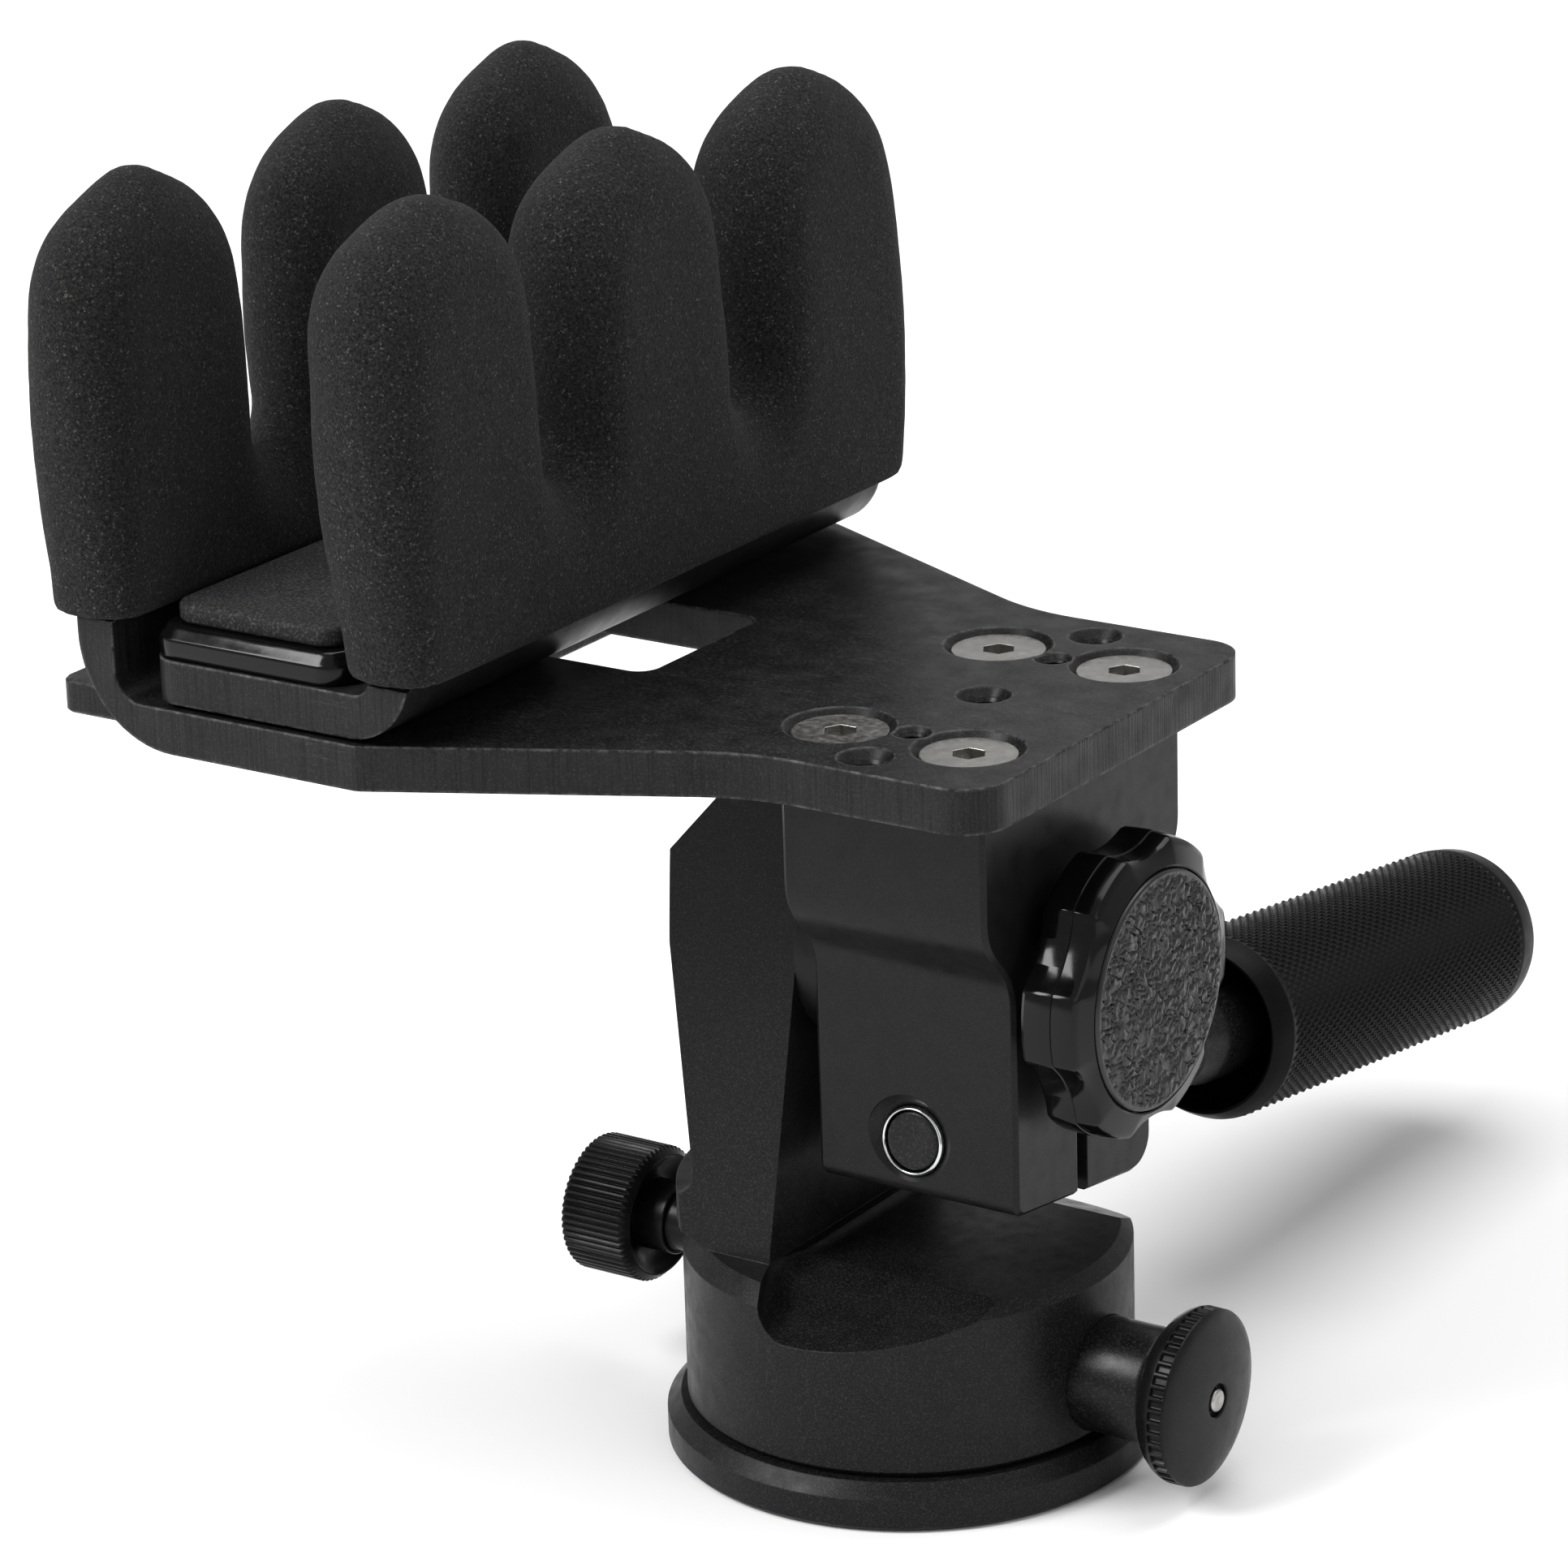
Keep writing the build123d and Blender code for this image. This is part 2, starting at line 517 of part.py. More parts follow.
with BuildPart() as saddle_plate:
    with BuildSketch(Plane.XZ):
        with BuildLine():
            Line((plate_x1, plate_z0), (wall_x0 + bend_out, plate_z0))
            RadiusArc((wall_x0 + bend_out, plate_z0), (wall_x0, plate_z0 + bend_out), bend_out)
            Line((wall_x0, plate_z0 + bend_out), (wall_x0, jaw_tip_z + 2))
            Line((wall_x0, jaw_tip_z + 2), (wall_x1, jaw_tip_z + 2))
            Line((wall_x1, jaw_tip_z + 2), (wall_x1, plate_z1 + bend_in))
            RadiusArc((wall_x1, plate_z1 + bend_in), (wall_x1 + bend_in, plate_z1), -bend_in)
            Line((wall_x1 + bend_in, plate_z1), (plate_x1, plate_z1))
            Line((plate_x1, plate_z1), (plate_x1, plate_z0))
        make_face()
    extrude(amount=saddle_half, both=True)
    with BuildSketch(Plane.XY.offset(plate_z0 - 5)):
        with BuildLine():
            Polyline((wall_x0 - 5, -saddle_half), (flare_x, -saddle_half), (0, -mount_half),
                     (plate_x1, -mount_half), (plate_x1, mount_half), (0, mount_half),
                     (flare_x, saddle_half), (wall_x0 - 5, saddle_half), close=True)
        make_face()
        fillet(vertices().group_by(Axis.X)[-1], radius=6.0)
        fillet(vertices().filter_by_position(Axis.X, -0.1, 0.1), radius=30.0)
        fillet(vertices().filter_by_position(Axis.X, flare_x - 0.1, flare_x + 0.1), radius=3.0)
    extrude(amount=90, mode=Mode.INTERSECT)
    add(fixed_finger_trim.part, mode=Mode.SUBTRACT)
    with BuildSketch(Plane.XY.offset(plate_z1)):
        with Locations(((window_x0 + window_x1) / 2, 0)):
            RectangleRounded(window_x1 - window_x0, 2 * window_half, 3.0)
    extrude(amount=-plate_t, mode=Mode.SUBTRACT)
    with Locations(Plane.XY.offset(plate_z1)):
        with Locations((screw_x, 0)):
            with GridLocations(screw_pitch_x, screw_pitch_y, 2, 2):
                CounterSinkHole(3.4, 7.3, depth=plate_t)
            with GridLocations(1, quarter_inch_pitch, 1, 3):
                CounterSinkHole(2.6, 3.65, depth=plate_t)
            with GridLocations(1, 2 * small_pitch, 1, 2):
                CounterSinkHole(2.0, 2.6, depth=plate_t)
saddle_plate.part.label = "saddle_plate"
export_step(saddle_plate.part, "parts/saddle_plate.step")

head_top = plate_z1 - 0.7
with BuildPart() as plate_screws:
    for x in (screw_x - screw_pitch_x / 2, screw_x + screw_pitch_x / 2):
        for y in (-screw_pitch_y / 2, screw_pitch_y / 2):
            screw_axis = Plane(origin=(x, y, head_top), x_dir=(0, 0, -1), z_dir=(0, 1, 0))
            add(turned(screw_axis, [(0, 0), (0, 6.2), (0.3, 6.35), (3.6, 3.15), (17.5, 3.15),
                                    (17.5, 0)]))
    with BuildSketch(Plane.XY.offset(head_top)):
        with Locations((screw_x, 0)):
            with GridLocations(screw_pitch_x, screw_pitch_y, 2, 2):
                RegularPolygon(2.3, 6)
    extrude(amount=-2.4, mode=Mode.SUBTRACT)
plate_screws.part.label = "plate_screws"
export_step(plate_screws.part, "parts/plate_screws.step")

# ======================================================================================
# Moving jaw, its guide and slide plate, the padded tray and the two foam sleeves
# ======================================================================================
jaw_z1 = jaw_z0 + jaw_t
moving_tip_z = 169.8
jaw_bend = 9.5
with BuildPart() as moving_form:
    with BuildSketch(Plane.XZ):
        with BuildLine():
            Line((jaw_x0, jaw_z0), (jaw_wall_x1 - jaw_bend, jaw_z0))
            RadiusArc((jaw_wall_x1 - jaw_bend, jaw_z0), (jaw_wall_x1, jaw_z0 + jaw_bend), -jaw_bend)
            Line((jaw_wall_x1, jaw_z0 + jaw_bend), (jaw_wall_x1, moving_tip_z + 2))
            Line((jaw_wall_x1, moving_tip_z + 2), (jaw_wall_x1 - jaw_t, moving_tip_z + 2))
            Line((jaw_wall_x1 - jaw_t, moving_tip_z + 2), (jaw_wall_x1 - jaw_t, jaw_z1 + 3))
            RadiusArc((jaw_wall_x1 - jaw_t, jaw_z1 + 3), (jaw_wall_x1 - jaw_t - 3, jaw_z1), 3)
            Line((jaw_wall_x1 - jaw_t - 3, jaw_z1), (jaw_x0, jaw_z1))
            Line((jaw_x0, jaw_z1), (jaw_x0, jaw_z0))
        make_face()
    extrude(amount=jaw_half, both=True)
with BuildPart() as moving_trim:
    with BuildSketch(Plane.YZ.offset(jaw_wall_x1 - 12)):
        with Locations((0, 149)):
            Rectangle(200, 71)
        add(finger_outline(Plane.XY, jaw_half - 1.0, 110, moving_tip_z, 0), mode=Mode.SUBTRACT)
    extrude(amount=20)
screw_rows = ((-69.0, -7.5), (-69.0, 7.5))
with BuildPart() as moving_jaw:
    add(moving_form.part)
    add(moving_trim.part, mode=Mode.SUBTRACT)
    ends = moving_jaw.edges().filter_by(Axis.Z).group_by(Axis.X)[0]
    fillet(ends, radius=4.0)
    for x, y in screw_rows:
        with Locations((x, y, jaw_z0)):
            Cylinder(2.6, 5.2, align=(Align.CENTER, Align.CENTER, Align.MIN), mode=Mode.SUBTRACT)
moving_jaw.part.label = "moving_jaw"
export_step(moving_jaw.part, "parts/moving_jaw.step")

with BuildPart() as guide_block:
    with BuildSketch(Plane.XY.offset(plate_z0 - 0.15)):
        with Locations(((guide_x0 + guide_x1) / 2, 0)):
            RectangleRounded(guide_x1 - guide_x0, 2 * (window_half - 0.3), 3.0)
    extrude(amount=jaw_z0 - plate_z0 + 0.15)
    for x, y in screw_rows:
        with Locations((x, y, plate_z0 - 1)):
            Cylinder(2.8, 12, align=(Align.CENTER, Align.CENTER, Align.MIN), mode=Mode.SUBTRACT)
guide_block.part.label = "guide_block"
export_step(guide_block.part, "parts/guide_block.step")

slide_z1 = plate_z0 - 0.15
slide_z0 = slide_z1 - slide_t
with BuildPart() as slide_plate:
    with BuildSketch(Plane.XY.offset(slide_z0)):
        with Locations(((slide_x0 + slide_x1) / 2, 0)):
            RectangleRounded(slide_x1 - slide_x0, 2 * slide_half, 2.0)
    extrude(amount=slide_t)
    chamfer(slide_plate.edges().group_by(Axis.Z)[0], length=0.4)
    chamfer(slide_plate.edges().group_by(Axis.Z)[-1], length=0.4)
    for x, y in screw_rows:
        with Locations(Plane(origin=(x, y, slide_z0), z_dir=(0, 0, -1))):
            CounterBoreHole(2.8, 4.6, 2.6, depth=slide_t)
slide_plate.part.label = "slide_plate"
export_step(slide_plate.part, "parts/slide_plate.step")

with BuildPart() as jaw_screws:
    for x, y in screw_rows:
        screw_axis = Plane(origin=(x, y, slide_z0 - 1.6), x_dir=(0, 0, 1), z_dir=(0, 1, 0))
        add(turned(screw_axis, [(0, 0), (0, 3.9), (0.4, 4.3), (4.2, 4.3), (4.2, 2.5), (17.0, 2.5),
                                (17.0, 0)]))
    with BuildSketch(Plane.XY.offset(slide_z0 - 1.6)):
        with Locations(*screw_rows):
            RegularPolygon(2.2, 6)
    extrude(amount=2.6, mode=Mode.SUBTRACT)
jaw_screws.part.label = "jaw_screws"
export_step(jaw_screws.part, "parts/jaw_screws.step")

tray_x0 = jaw_x0 - 0.5
tray_x1 = jaw_wall_x1 - jaw_t - foam_t - 1.2
tray_mid = (tray_x0 + tray_x1) / 2
tray_steps = ((0.0, 2.8, 0.0), (2.8, 4.2, 1.1))
with BuildPart() as support_tray:
    for low, high, inset in tray_steps:
        with BuildSketch(Plane.XY.offset(jaw_z1 + low)):
            with Locations((tray_mid, 0)):
                RectangleRounded(tray_x1 - tray_x0 - 2 * inset, 2 * (jaw_half - 0.6 - inset), 4.0)
        extrude(amount=high - low)
    fillet(support_tray.edges().group_by(Axis.Z)[-1], radius=0.8)
support_tray.part.label = "support_tray"
export_step(support_tray.part, "parts/support_tray.step")

pad_z0 = jaw_z1 + 4.2
with BuildPart() as rubber_pad:
    with BuildSketch(Plane.XY.offset(pad_z0)):
        with Locations((tray_mid, 0)):
            RectangleRounded(tray_x1 - tray_x0 - 4.4, 2 * (jaw_half - 2.8), 2.5)
    extrude(amount=2.8)
rubber_pad.part.label = "rubber_pad"
export_step(rubber_pad.part, "parts/rubber_pad.step")

sleeves = (("fixed_jaw_sleeve", wall_x0, wall_x1, saddle_half - 1.0, 117.6, jaw_tip_z, 1.2),
           ("moving_jaw_sleeve", jaw_wall_x1 - jaw_t, jaw_wall_x1, jaw_half - 1.0, 115.2, moving_tip_z,
            1.1))
for sleeve_name, x0, x1, half, low_z, tip_z, extra in sleeves:
    with BuildPart() as sleeve:
        extrude(finger_outline(Plane.YZ.offset(x0 - foam_t), half, low_z, tip_z, foam_t),
                amount=x1 - x0 + 2 * foam_t)
        with BuildSketch(Plane.XY.offset(low_z - 1)):
            with Locations(((x0 + x1) / 2, 0)):
                Rectangle(x1 - x0 + 0.2, 2 * (half + extra))
        extrude(amount=6)
    shell = sleeve.part
    with BuildPart() as sleeve:
        add(shell)
        extrude(finger_outline(Plane.YZ.offset(x0 - 0.1), half, low_z - 3, tip_z, 0.1),
                amount=x1 - x0 + 0.2, mode=Mode.SUBTRACT)
    sleeve.part.label = sleeve_name
    export_step(sleeve.part, f"parts/{sleeve_name}.step")
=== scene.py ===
import json
from math import cos, pi, radians, sin, sqrt

import bmesh
import bpy
import numpy as np
from mathutils import Matrix, Vector, noise


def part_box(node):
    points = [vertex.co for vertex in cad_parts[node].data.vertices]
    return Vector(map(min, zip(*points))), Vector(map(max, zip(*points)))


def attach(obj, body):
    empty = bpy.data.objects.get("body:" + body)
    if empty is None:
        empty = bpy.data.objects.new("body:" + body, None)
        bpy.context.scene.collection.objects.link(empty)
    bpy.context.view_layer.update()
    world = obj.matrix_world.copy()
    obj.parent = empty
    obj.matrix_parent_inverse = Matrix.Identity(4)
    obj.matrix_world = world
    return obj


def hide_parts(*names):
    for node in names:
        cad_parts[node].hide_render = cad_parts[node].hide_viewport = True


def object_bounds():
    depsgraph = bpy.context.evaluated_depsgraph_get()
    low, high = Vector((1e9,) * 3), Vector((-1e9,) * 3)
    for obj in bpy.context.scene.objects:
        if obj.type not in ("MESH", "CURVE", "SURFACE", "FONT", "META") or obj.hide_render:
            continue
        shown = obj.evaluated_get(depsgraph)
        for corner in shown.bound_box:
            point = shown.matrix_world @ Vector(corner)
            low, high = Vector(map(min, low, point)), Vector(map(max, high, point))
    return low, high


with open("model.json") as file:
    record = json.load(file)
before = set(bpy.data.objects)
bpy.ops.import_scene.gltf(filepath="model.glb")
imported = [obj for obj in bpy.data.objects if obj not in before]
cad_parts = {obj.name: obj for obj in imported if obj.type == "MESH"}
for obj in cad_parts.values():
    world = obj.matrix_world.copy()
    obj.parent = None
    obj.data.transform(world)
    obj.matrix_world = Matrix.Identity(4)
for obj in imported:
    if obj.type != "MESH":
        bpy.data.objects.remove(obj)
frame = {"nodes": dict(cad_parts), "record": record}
cad_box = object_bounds()
nodes = frame["nodes"]
MM = 0.001

# ======================================================================================
# Node materials
# ======================================================================================


class Finish:
    """A procedural material under construction. Object coordinates are the row frame, in metres."""

    def __init__(self, name):
        self.mat = bpy.data.materials.new(name)
        self.mat.use_nodes = True
        self.tree = self.mat.node_tree
        self.tree.nodes.clear()
        self.out = self.add("ShaderNodeOutputMaterial")
        self.bsdf = self.add("ShaderNodeBsdfPrincipled")
        self.link(self.bsdf.outputs[0], self.out.inputs[0])
        self.coords = self.add("ShaderNodeTexCoord").outputs["Object"]

    def add(self, kind, **settings):
        node = self.tree.nodes.new(kind)
        for key, value in settings.items():
            setattr(node, key, value)
        return node

    def link(self, a, b):
        self.tree.links.new(a, b)

    def feed(self, socket, value):
        """Link a socket to another node's output, or set the socket's own value."""
        if isinstance(value, bpy.types.NodeSocket):
            self.link(value, socket)
        else:
            socket.default_value = value

    def place(self, stretch, turn=(0, 0, 0)):
        """Stretched and turned coordinates."""
        m = self.add("ShaderNodeMapping")
        self.link(self.coords, m.inputs["Vector"])
        m.inputs["Scale"].default_value = stretch
        m.inputs["Rotation"].default_value = turn
        return m.outputs[0]

    def noise(self, scale, detail=2.0, rough=0.5, where=None):
        n = self.add("ShaderNodeTexNoise")
        self.link(where or self.coords, n.inputs["Vector"])
        n.inputs["Scale"].default_value = scale
        n.inputs["Detail"].default_value = detail
        n.inputs["Roughness"].default_value = rough
        return n.outputs["Fac"]

    def cells(self, scale):
        """Distance to the nearest cell's centre."""
        v = self.add("ShaderNodeTexVoronoi", feature="F1")
        self.link(self.coords, v.inputs["Vector"])
        v.inputs["Scale"].default_value = scale
        return v.outputs["Distance"]

    def span(self, value, low, high, to_low=0.0, to_high=1.0):
        """A value from low..high mapped to to_low..to_high, and clamped."""
        r = self.add("ShaderNodeMapRange")
        self.link(value, r.inputs["Value"])
        limits = {"From Min": low, "From Max": high, "To Min": to_low, "To Max": to_high}
        for key, number in limits.items():
            r.inputs[key].default_value = number
        return r.outputs[0]

    def math(self, kind, a, b=0.0):
        m = self.add("ShaderNodeMath", operation=kind)
        self.feed(m.inputs[0], a)
        self.feed(m.inputs[1], b)
        return m.outputs[0]

    def times(self, *values):
        """Product of two or more values."""
        product = values[0]
        for value in values[1:]:
            product = self.math("MULTIPLY", product, value)
        return product

    def mix(self, fac, a, b):
        """Colour a where fac is 0 and colour b where it is 1."""
        m = self.add("ShaderNodeMix", data_type="RGBA")
        self.feed(m.inputs[0], fac)
        for socket, colour in ((m.inputs[6], a), (m.inputs[7], b)):
            self.feed(socket, (*colour, 1.0) if isinstance(colour, tuple) else colour)
        return m.outputs[2]

    def bump(self, height, distance, strength, normal=None):
        b = self.add("ShaderNodeBump")
        self.link(height, b.inputs["Height"])
        b.inputs["Distance"].default_value = distance
        b.inputs["Strength"].default_value = strength
        if normal:
            self.link(normal, b.inputs["Normal"])
        return b.outputs[0]

    def rounded(self, radius):
        """Normal of softly rounded edges, and a mask that is 1 on those edges."""
        bevel = self.add("ShaderNodeBevel", samples=6)
        bevel.inputs["Radius"].default_value = radius
        geometry = self.add("ShaderNodeNewGeometry")
        dot = self.add("ShaderNodeVectorMath", operation="DOT_PRODUCT")
        self.link(bevel.outputs[0], dot.inputs[0])
        self.link(geometry.outputs["Normal"], dot.inputs[1])
        return bevel.outputs[0], self.span(dot.outputs["Value"], 0.995, 0.86)

    def upness(self):
        """Z of the surface normal: 1 on surfaces that look up, 0 on upright ones."""
        geometry = self.add("ShaderNodeNewGeometry")
        split = self.add("ShaderNodeSeparateXYZ")
        self.link(geometry.outputs["Normal"], split.inputs[0])
        return split.outputs["Z"]


def grey(tone, tint=(1.0, 1.0, 1.0)):
    return tuple(tone * t for t in tint)


def finish(name, tone, tint=(1.0, 1.0, 1.0), rough=0.45, rough_play=0.08, grain=4500.0, depth=3e-5,
           grip=0.3, mottle=0.25, mottle_scale=160.0, fleck_and_glint=0.0, fleck_and_glint_scale=6000.0, wear=0.0,
           wear_tone=0.09, edge=0.0004, scratch=0.0, scratch_way=(0, 0, 0), dust=0.0, spec=0.5,
           metallic=0.0, saw=0.0):
    """General finish: mottled colour, light flecks (real flecks on rubber, painted glints on the metals),
    scratches, worn edges, saw marks, dust, grain in the bump.
    tone is the base grey and wear_tone that of rubbed places; edge is the radius of softened edges."""
    f = Finish(name)
    cloud = f.noise(mottle_scale, 5.0, 0.6)
    darker, lighter = grey(tone * (1 - mottle), tint), grey(tone * (1 + mottle), tint)
    colour = f.mix(f.span(cloud, 0.3, 0.7), darker, lighter)
    roughness = f.span(f.noise(mottle_scale * 2.3, 4.0), 0.3, 0.7, rough - rough_play, rough + rough_play)
    height = f.noise(grain, 3.0, 0.6)
    # Bright specks painted into the base colour: on the metal finishes they are painted glints of
    # sparkle, on the rubber pad they are its own light flecks.
    if fleck_and_glint:
        fleck_and_glint_mask = f.span(f.noise(fleck_and_glint_scale, 2.0, 0.7), 0.50, 0.72)
        colour = f.mix(f.times(fleck_and_glint_mask, fleck_and_glint), colour, grey(tone * 5 + 0.012, tint))
    if scratch:
        line = f.noise(42.0, 2.0, 0.6, f.place((1.0, 46.0, 46.0), scratch_way))
        thin = f.span(f.math("ABSOLUTE", f.math("SUBTRACT", line, 0.5)), 0.006, 0.0)
        seldom = f.span(f.noise(55.0, 3.0), 0.50, 0.66)
        mark = f.times(thin, seldom, scratch)
        colour = f.mix(mark, colour, grey(wear_tone, tint))
        height = f.math("SUBTRACT", height, f.times(mark, 1.2))
    normal = None
    if edge:
        normal, rim = f.rounded(edge)
        if wear:
            patchy = f.span(f.noise(700.0, 5.0, 0.7), 0.40, 0.66)
            colour = f.mix(f.times(rim, patchy, wear), colour, grey(wear_tone, tint))
    if saw:
        side = f.span(f.math("ABSOLUTE", f.upness()), 0.5, 0.15)
        lines = f.noise(1.0, 3.0, 0.65, f.place((2300.0, 2300.0, 60.0)))
        streak = f.times(f.span(lines, 0.36, 0.66), side)
        cut = f.times(f.span(lines, 0.46, 0.36), side)
        colour = f.mix(f.times(streak, saw), colour, grey(wear_tone, tint))
        colour = f.mix(f.times(cut, 0.4), colour, grey(tone * 0.1, tint))
        height = f.math("ADD", height, f.times(streak, 1.6))
    if dust:
        lint = f.span(f.noise(1900.0, 4.0, 0.75), 0.52, 0.80)
        lying = f.times(lint, f.span(f.upness(), 0.2, 0.9), dust, f.span(cloud, 0.25, 0.75, 0.5, 1.3))
        colour = f.mix(lying, colour, (0.16, 0.155, 0.15))
        roughness = f.math("ADD", roughness, f.times(lying, 0.5))
    f.link(colour, f.bsdf.inputs["Base Color"])
    f.link(roughness, f.bsdf.inputs["Roughness"])
    f.link(f.bump(height, depth, grip, normal), f.bsdf.inputs["Normal"])
    f.bsdf.inputs["Specular IOR Level"].default_value = spec
    f.bsdf.inputs["Metallic"].default_value = metallic
    return f.mat


def foam_finish(name, tone):
    """Dense skinned foam: dark, matt, with a fine open grain and light flecks."""
    f = Finish(name)
    cloud = f.noise(70.0, 4.0, 0.6)
    pores = f.noise(2600.0, 3.0, 0.72)
    chosen = f.span(f.noise(1500.0, 3.0, 0.6), 0.48, 0.66)
    fleck = f.times(f.span(f.cells(2300.0), 0.40, 0.18), chosen, 0.9)
    colour = f.mix(f.span(pores, 0.38, 0.66), grey(tone * 0.12), grey(tone * 2.3))
    colour = f.mix(fleck, colour, (0.115, 0.111, 0.103))
    colour = f.mix(f.span(cloud, 0.35, 0.72, 0.0, 0.25), colour, grey(tone * 1.2, (1.0, 0.98, 0.95)))
    height = f.math("ADD", pores, f.times(f.noise(5200.0, 2.0, 0.6), 0.5))
    dimple = f.bump(f.noise(330.0, 3.0, 0.6), 0.00055, 0.22)
    f.link(colour, f.bsdf.inputs["Base Color"])
    f.link(f.span(pores, 0.3, 0.7, 0.93, 0.74), f.bsdf.inputs["Roughness"])
    f.link(f.bump(height, 0.00030, 0.95, dimple), f.bsdf.inputs["Normal"])
    f.bsdf.inputs["Specular IOR Level"].default_value = 0.15
    f.bsdf.inputs["Sheen Weight"].default_value = 0.035
    f.bsdf.inputs["Sheen Roughness"].default_value = 0.45
    return f.mat


# The fleck settings of the metal finishes below paint glints into the colour; the rubber pad's are its
# own flecks.
head_black = finish(
    "anodised_head_black", 0.0040, rough=0.40, grain=3600, depth=5e-5, grip=0.42, mottle=0.14,
    fleck_and_glint=0.75, fleck_and_glint_scale=4300, wear=0.45, wear_tone=0.06, edge=0.00025, spec=0.16)
block_black = finish(
    "anodised_block_satin", 0.0046, rough=0.36, grain=5200, grip=0.25, mottle=0.08, fleck_and_glint=0.40,
    wear=0.22, wear_tone=0.035, edge=0.00022, spec=0.16)
plate_black = finish(
    "anodised_plate_worn", 0.0050, (1.0, 0.975, 0.985), rough=0.40, rough_play=0.10, grain=2600,
    depth=5e-5, grip=0.35, mottle=0.42, mottle_scale=95, fleck_and_glint=0.45, fleck_and_glint_scale=3400, wear=1.0,
    wear_tone=0.13, edge=0.0007, scratch=0.35, scratch_way=(0.3, 0.2, 0.7), dust=0.22, spec=0.17,
    saw=0.03)
knurl_black = finish(
    "knurled_metal_black", 0.0036, rough=0.30, grain=5200, depth=2e-5, grip=0.22, mottle=0.12,
    fleck_and_glint=0.30, wear=0.10, wear_tone=0.05, edge=0.00016, spec=0.13)
grip_black = finish(
    "knurled_grip_black", 0.0026, rough=0.36, grain=5200, depth=2e-5, grip=0.22, mottle=0.12,
    fleck_and_glint=0.20, edge=0.0, spec=0.06)
turned_black = finish(
    "turned_metal_black", 0.0036, rough=0.33, grain=4200, depth=4e-5, grip=0.35, mottle=0.1,
    fleck_and_glint=0.75, fleck_and_glint_scale=3000, edge=0.0003, spec=0.20)
bright_steel = finish(
    "screw_head_steel", 0.36, (1.0, 0.975, 0.93), rough=0.33, rough_play=0.07, grain=3200,
    mottle=0.16, mottle_scale=420, edge=0.00018, scratch=0.35, scratch_way=(0.1, 0.2, 1.1), wear=0.5,
    wear_tone=0.62, metallic=1.0)
dull_steel = finish(
    "plain_steel", 0.30, (1.0, 0.98, 0.95), rough=0.36, grain=3000, mottle=0.14, mottle_scale=300,
    edge=0.0002, scratch=0.2, metallic=1.0)
bronze = finish(
    "sintered_bronze", 0.34, (1.0, 0.66, 0.36), rough=0.44, grain=3000, depth=4e-5, mottle=0.2,
    mottle_scale=300, edge=0.0002, metallic=1.0)
polymer = finish("moulded_polymer", 0.0040, rough=0.52, grain=2400, mottle=0.1, edge=0.0002, spec=0.2)
knob_gloss = finish(
    "knob_gloss_plastic", 0.0022, rough=0.13, rough_play=0.05, grain=1500, depth=1.2e-5, grip=0.22,
    mottle=0.1, edge=0.0, scratch=0.10, scratch_way=(0.4, 1.3, 0.2), spec=0.20)
knob_texture = finish(
    "knob_insert_plastic", 0.0060, rough=0.30, rough_play=0.06, grain=4200, depth=2e-5, grip=0.25,
    mottle=0.12, edge=0.0, spec=0.42)
tray_gloss = finish(
    "tray_gloss_plastic", 0.0024, rough=0.15, rough_play=0.06, grain=1800, depth=1.5e-5, grip=0.2,
    mottle=0.12, edge=0.0, scratch=0.15, dust=0.05, spec=0.20)
pad_rubber = finish(
    "pad_rubber_dusty", 0.0095, (1.0, 0.99, 0.97), rough=0.66, grain=1700, depth=1.1e-4, grip=0.5,
    mottle=0.22, mottle_scale=120, fleck_and_glint=0.9, fleck_and_glint_scale=2600, edge=0.0, dust=0.34, spec=0.16)
foam_black = foam_finish("foam_black", 0.0088)
chrome = finish(
    "chrome_ring", 0.62, (0.97, 0.99, 1.0), rough=0.10, rough_play=0.04, grain=3000, depth=6e-6,
    grip=0.2, mottle=0.06, mottle_scale=600, edge=0.0001, metallic=1.0)

BY_SLOT = {
    "anodised_head": head_black, "anodised_block": block_black, "anodised_plate": plate_black,
    "knurled_metal": knurl_black, "turned_black": turned_black, "bright_steel": bright_steel,
    "steel": dull_steel, "bronze": bronze, "polymer": polymer, "knob_gloss": knob_gloss,
    "knob_texture": knob_texture, "tray_gloss": tray_gloss, "pad_rubber": pad_rubber, "foam": foam_black,
}
slot_of = {part["node"]: part["material_slot"] for part in frame["record"]["subparts"]}
body_of = {}
for body, members in frame["record"]["behaviour"]["bodies"].items():
    for node in members:
        body_of[node] = body


def coat(obj, material):
    obj.data.materials.clear()
    obj.data.materials.append(material)


for node, obj in nodes.items():
    coat(obj, BY_SLOT[slot_of[node]])

# ======================================================================================
# Mesh helpers
# ======================================================================================


def in_scene(name, data):
    """A new object, linked to the scene."""
    obj = bpy.data.objects.new(name, data)
    bpy.context.scene.collection.objects.link(obj)
    return obj


def mesh_object(name, verts, faces):
    mesh = bpy.data.meshes.new(name)
    mesh.from_pydata([tuple(v) for v in verts], [], faces)
    return in_scene(name, mesh)


def piece(name, verts, faces, stands_for, material, sharp, replace=True):
    """A new object on the body of the CAD node it stands for, in the given material. Corners of more than
    sharp degrees stay sharp."""
    obj = mesh_object(name, verts, faces)
    smooth(obj, sharp)
    coat(obj, material)
    settle(obj, stands_for, replace)
    return obj


def settle(obj, stands_for, replace=True):
    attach(obj, body_of[stands_for])
    if replace:
        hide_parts(stands_for)


def smooth(obj, sharp):
    mesh = obj.data
    mesh.polygons.foreach_set("use_smooth", [True] * len(mesh.polygons))
    if sharp:
        mesh.set_sharp_from_angle(angle=radians(sharp))
    mesh.update()


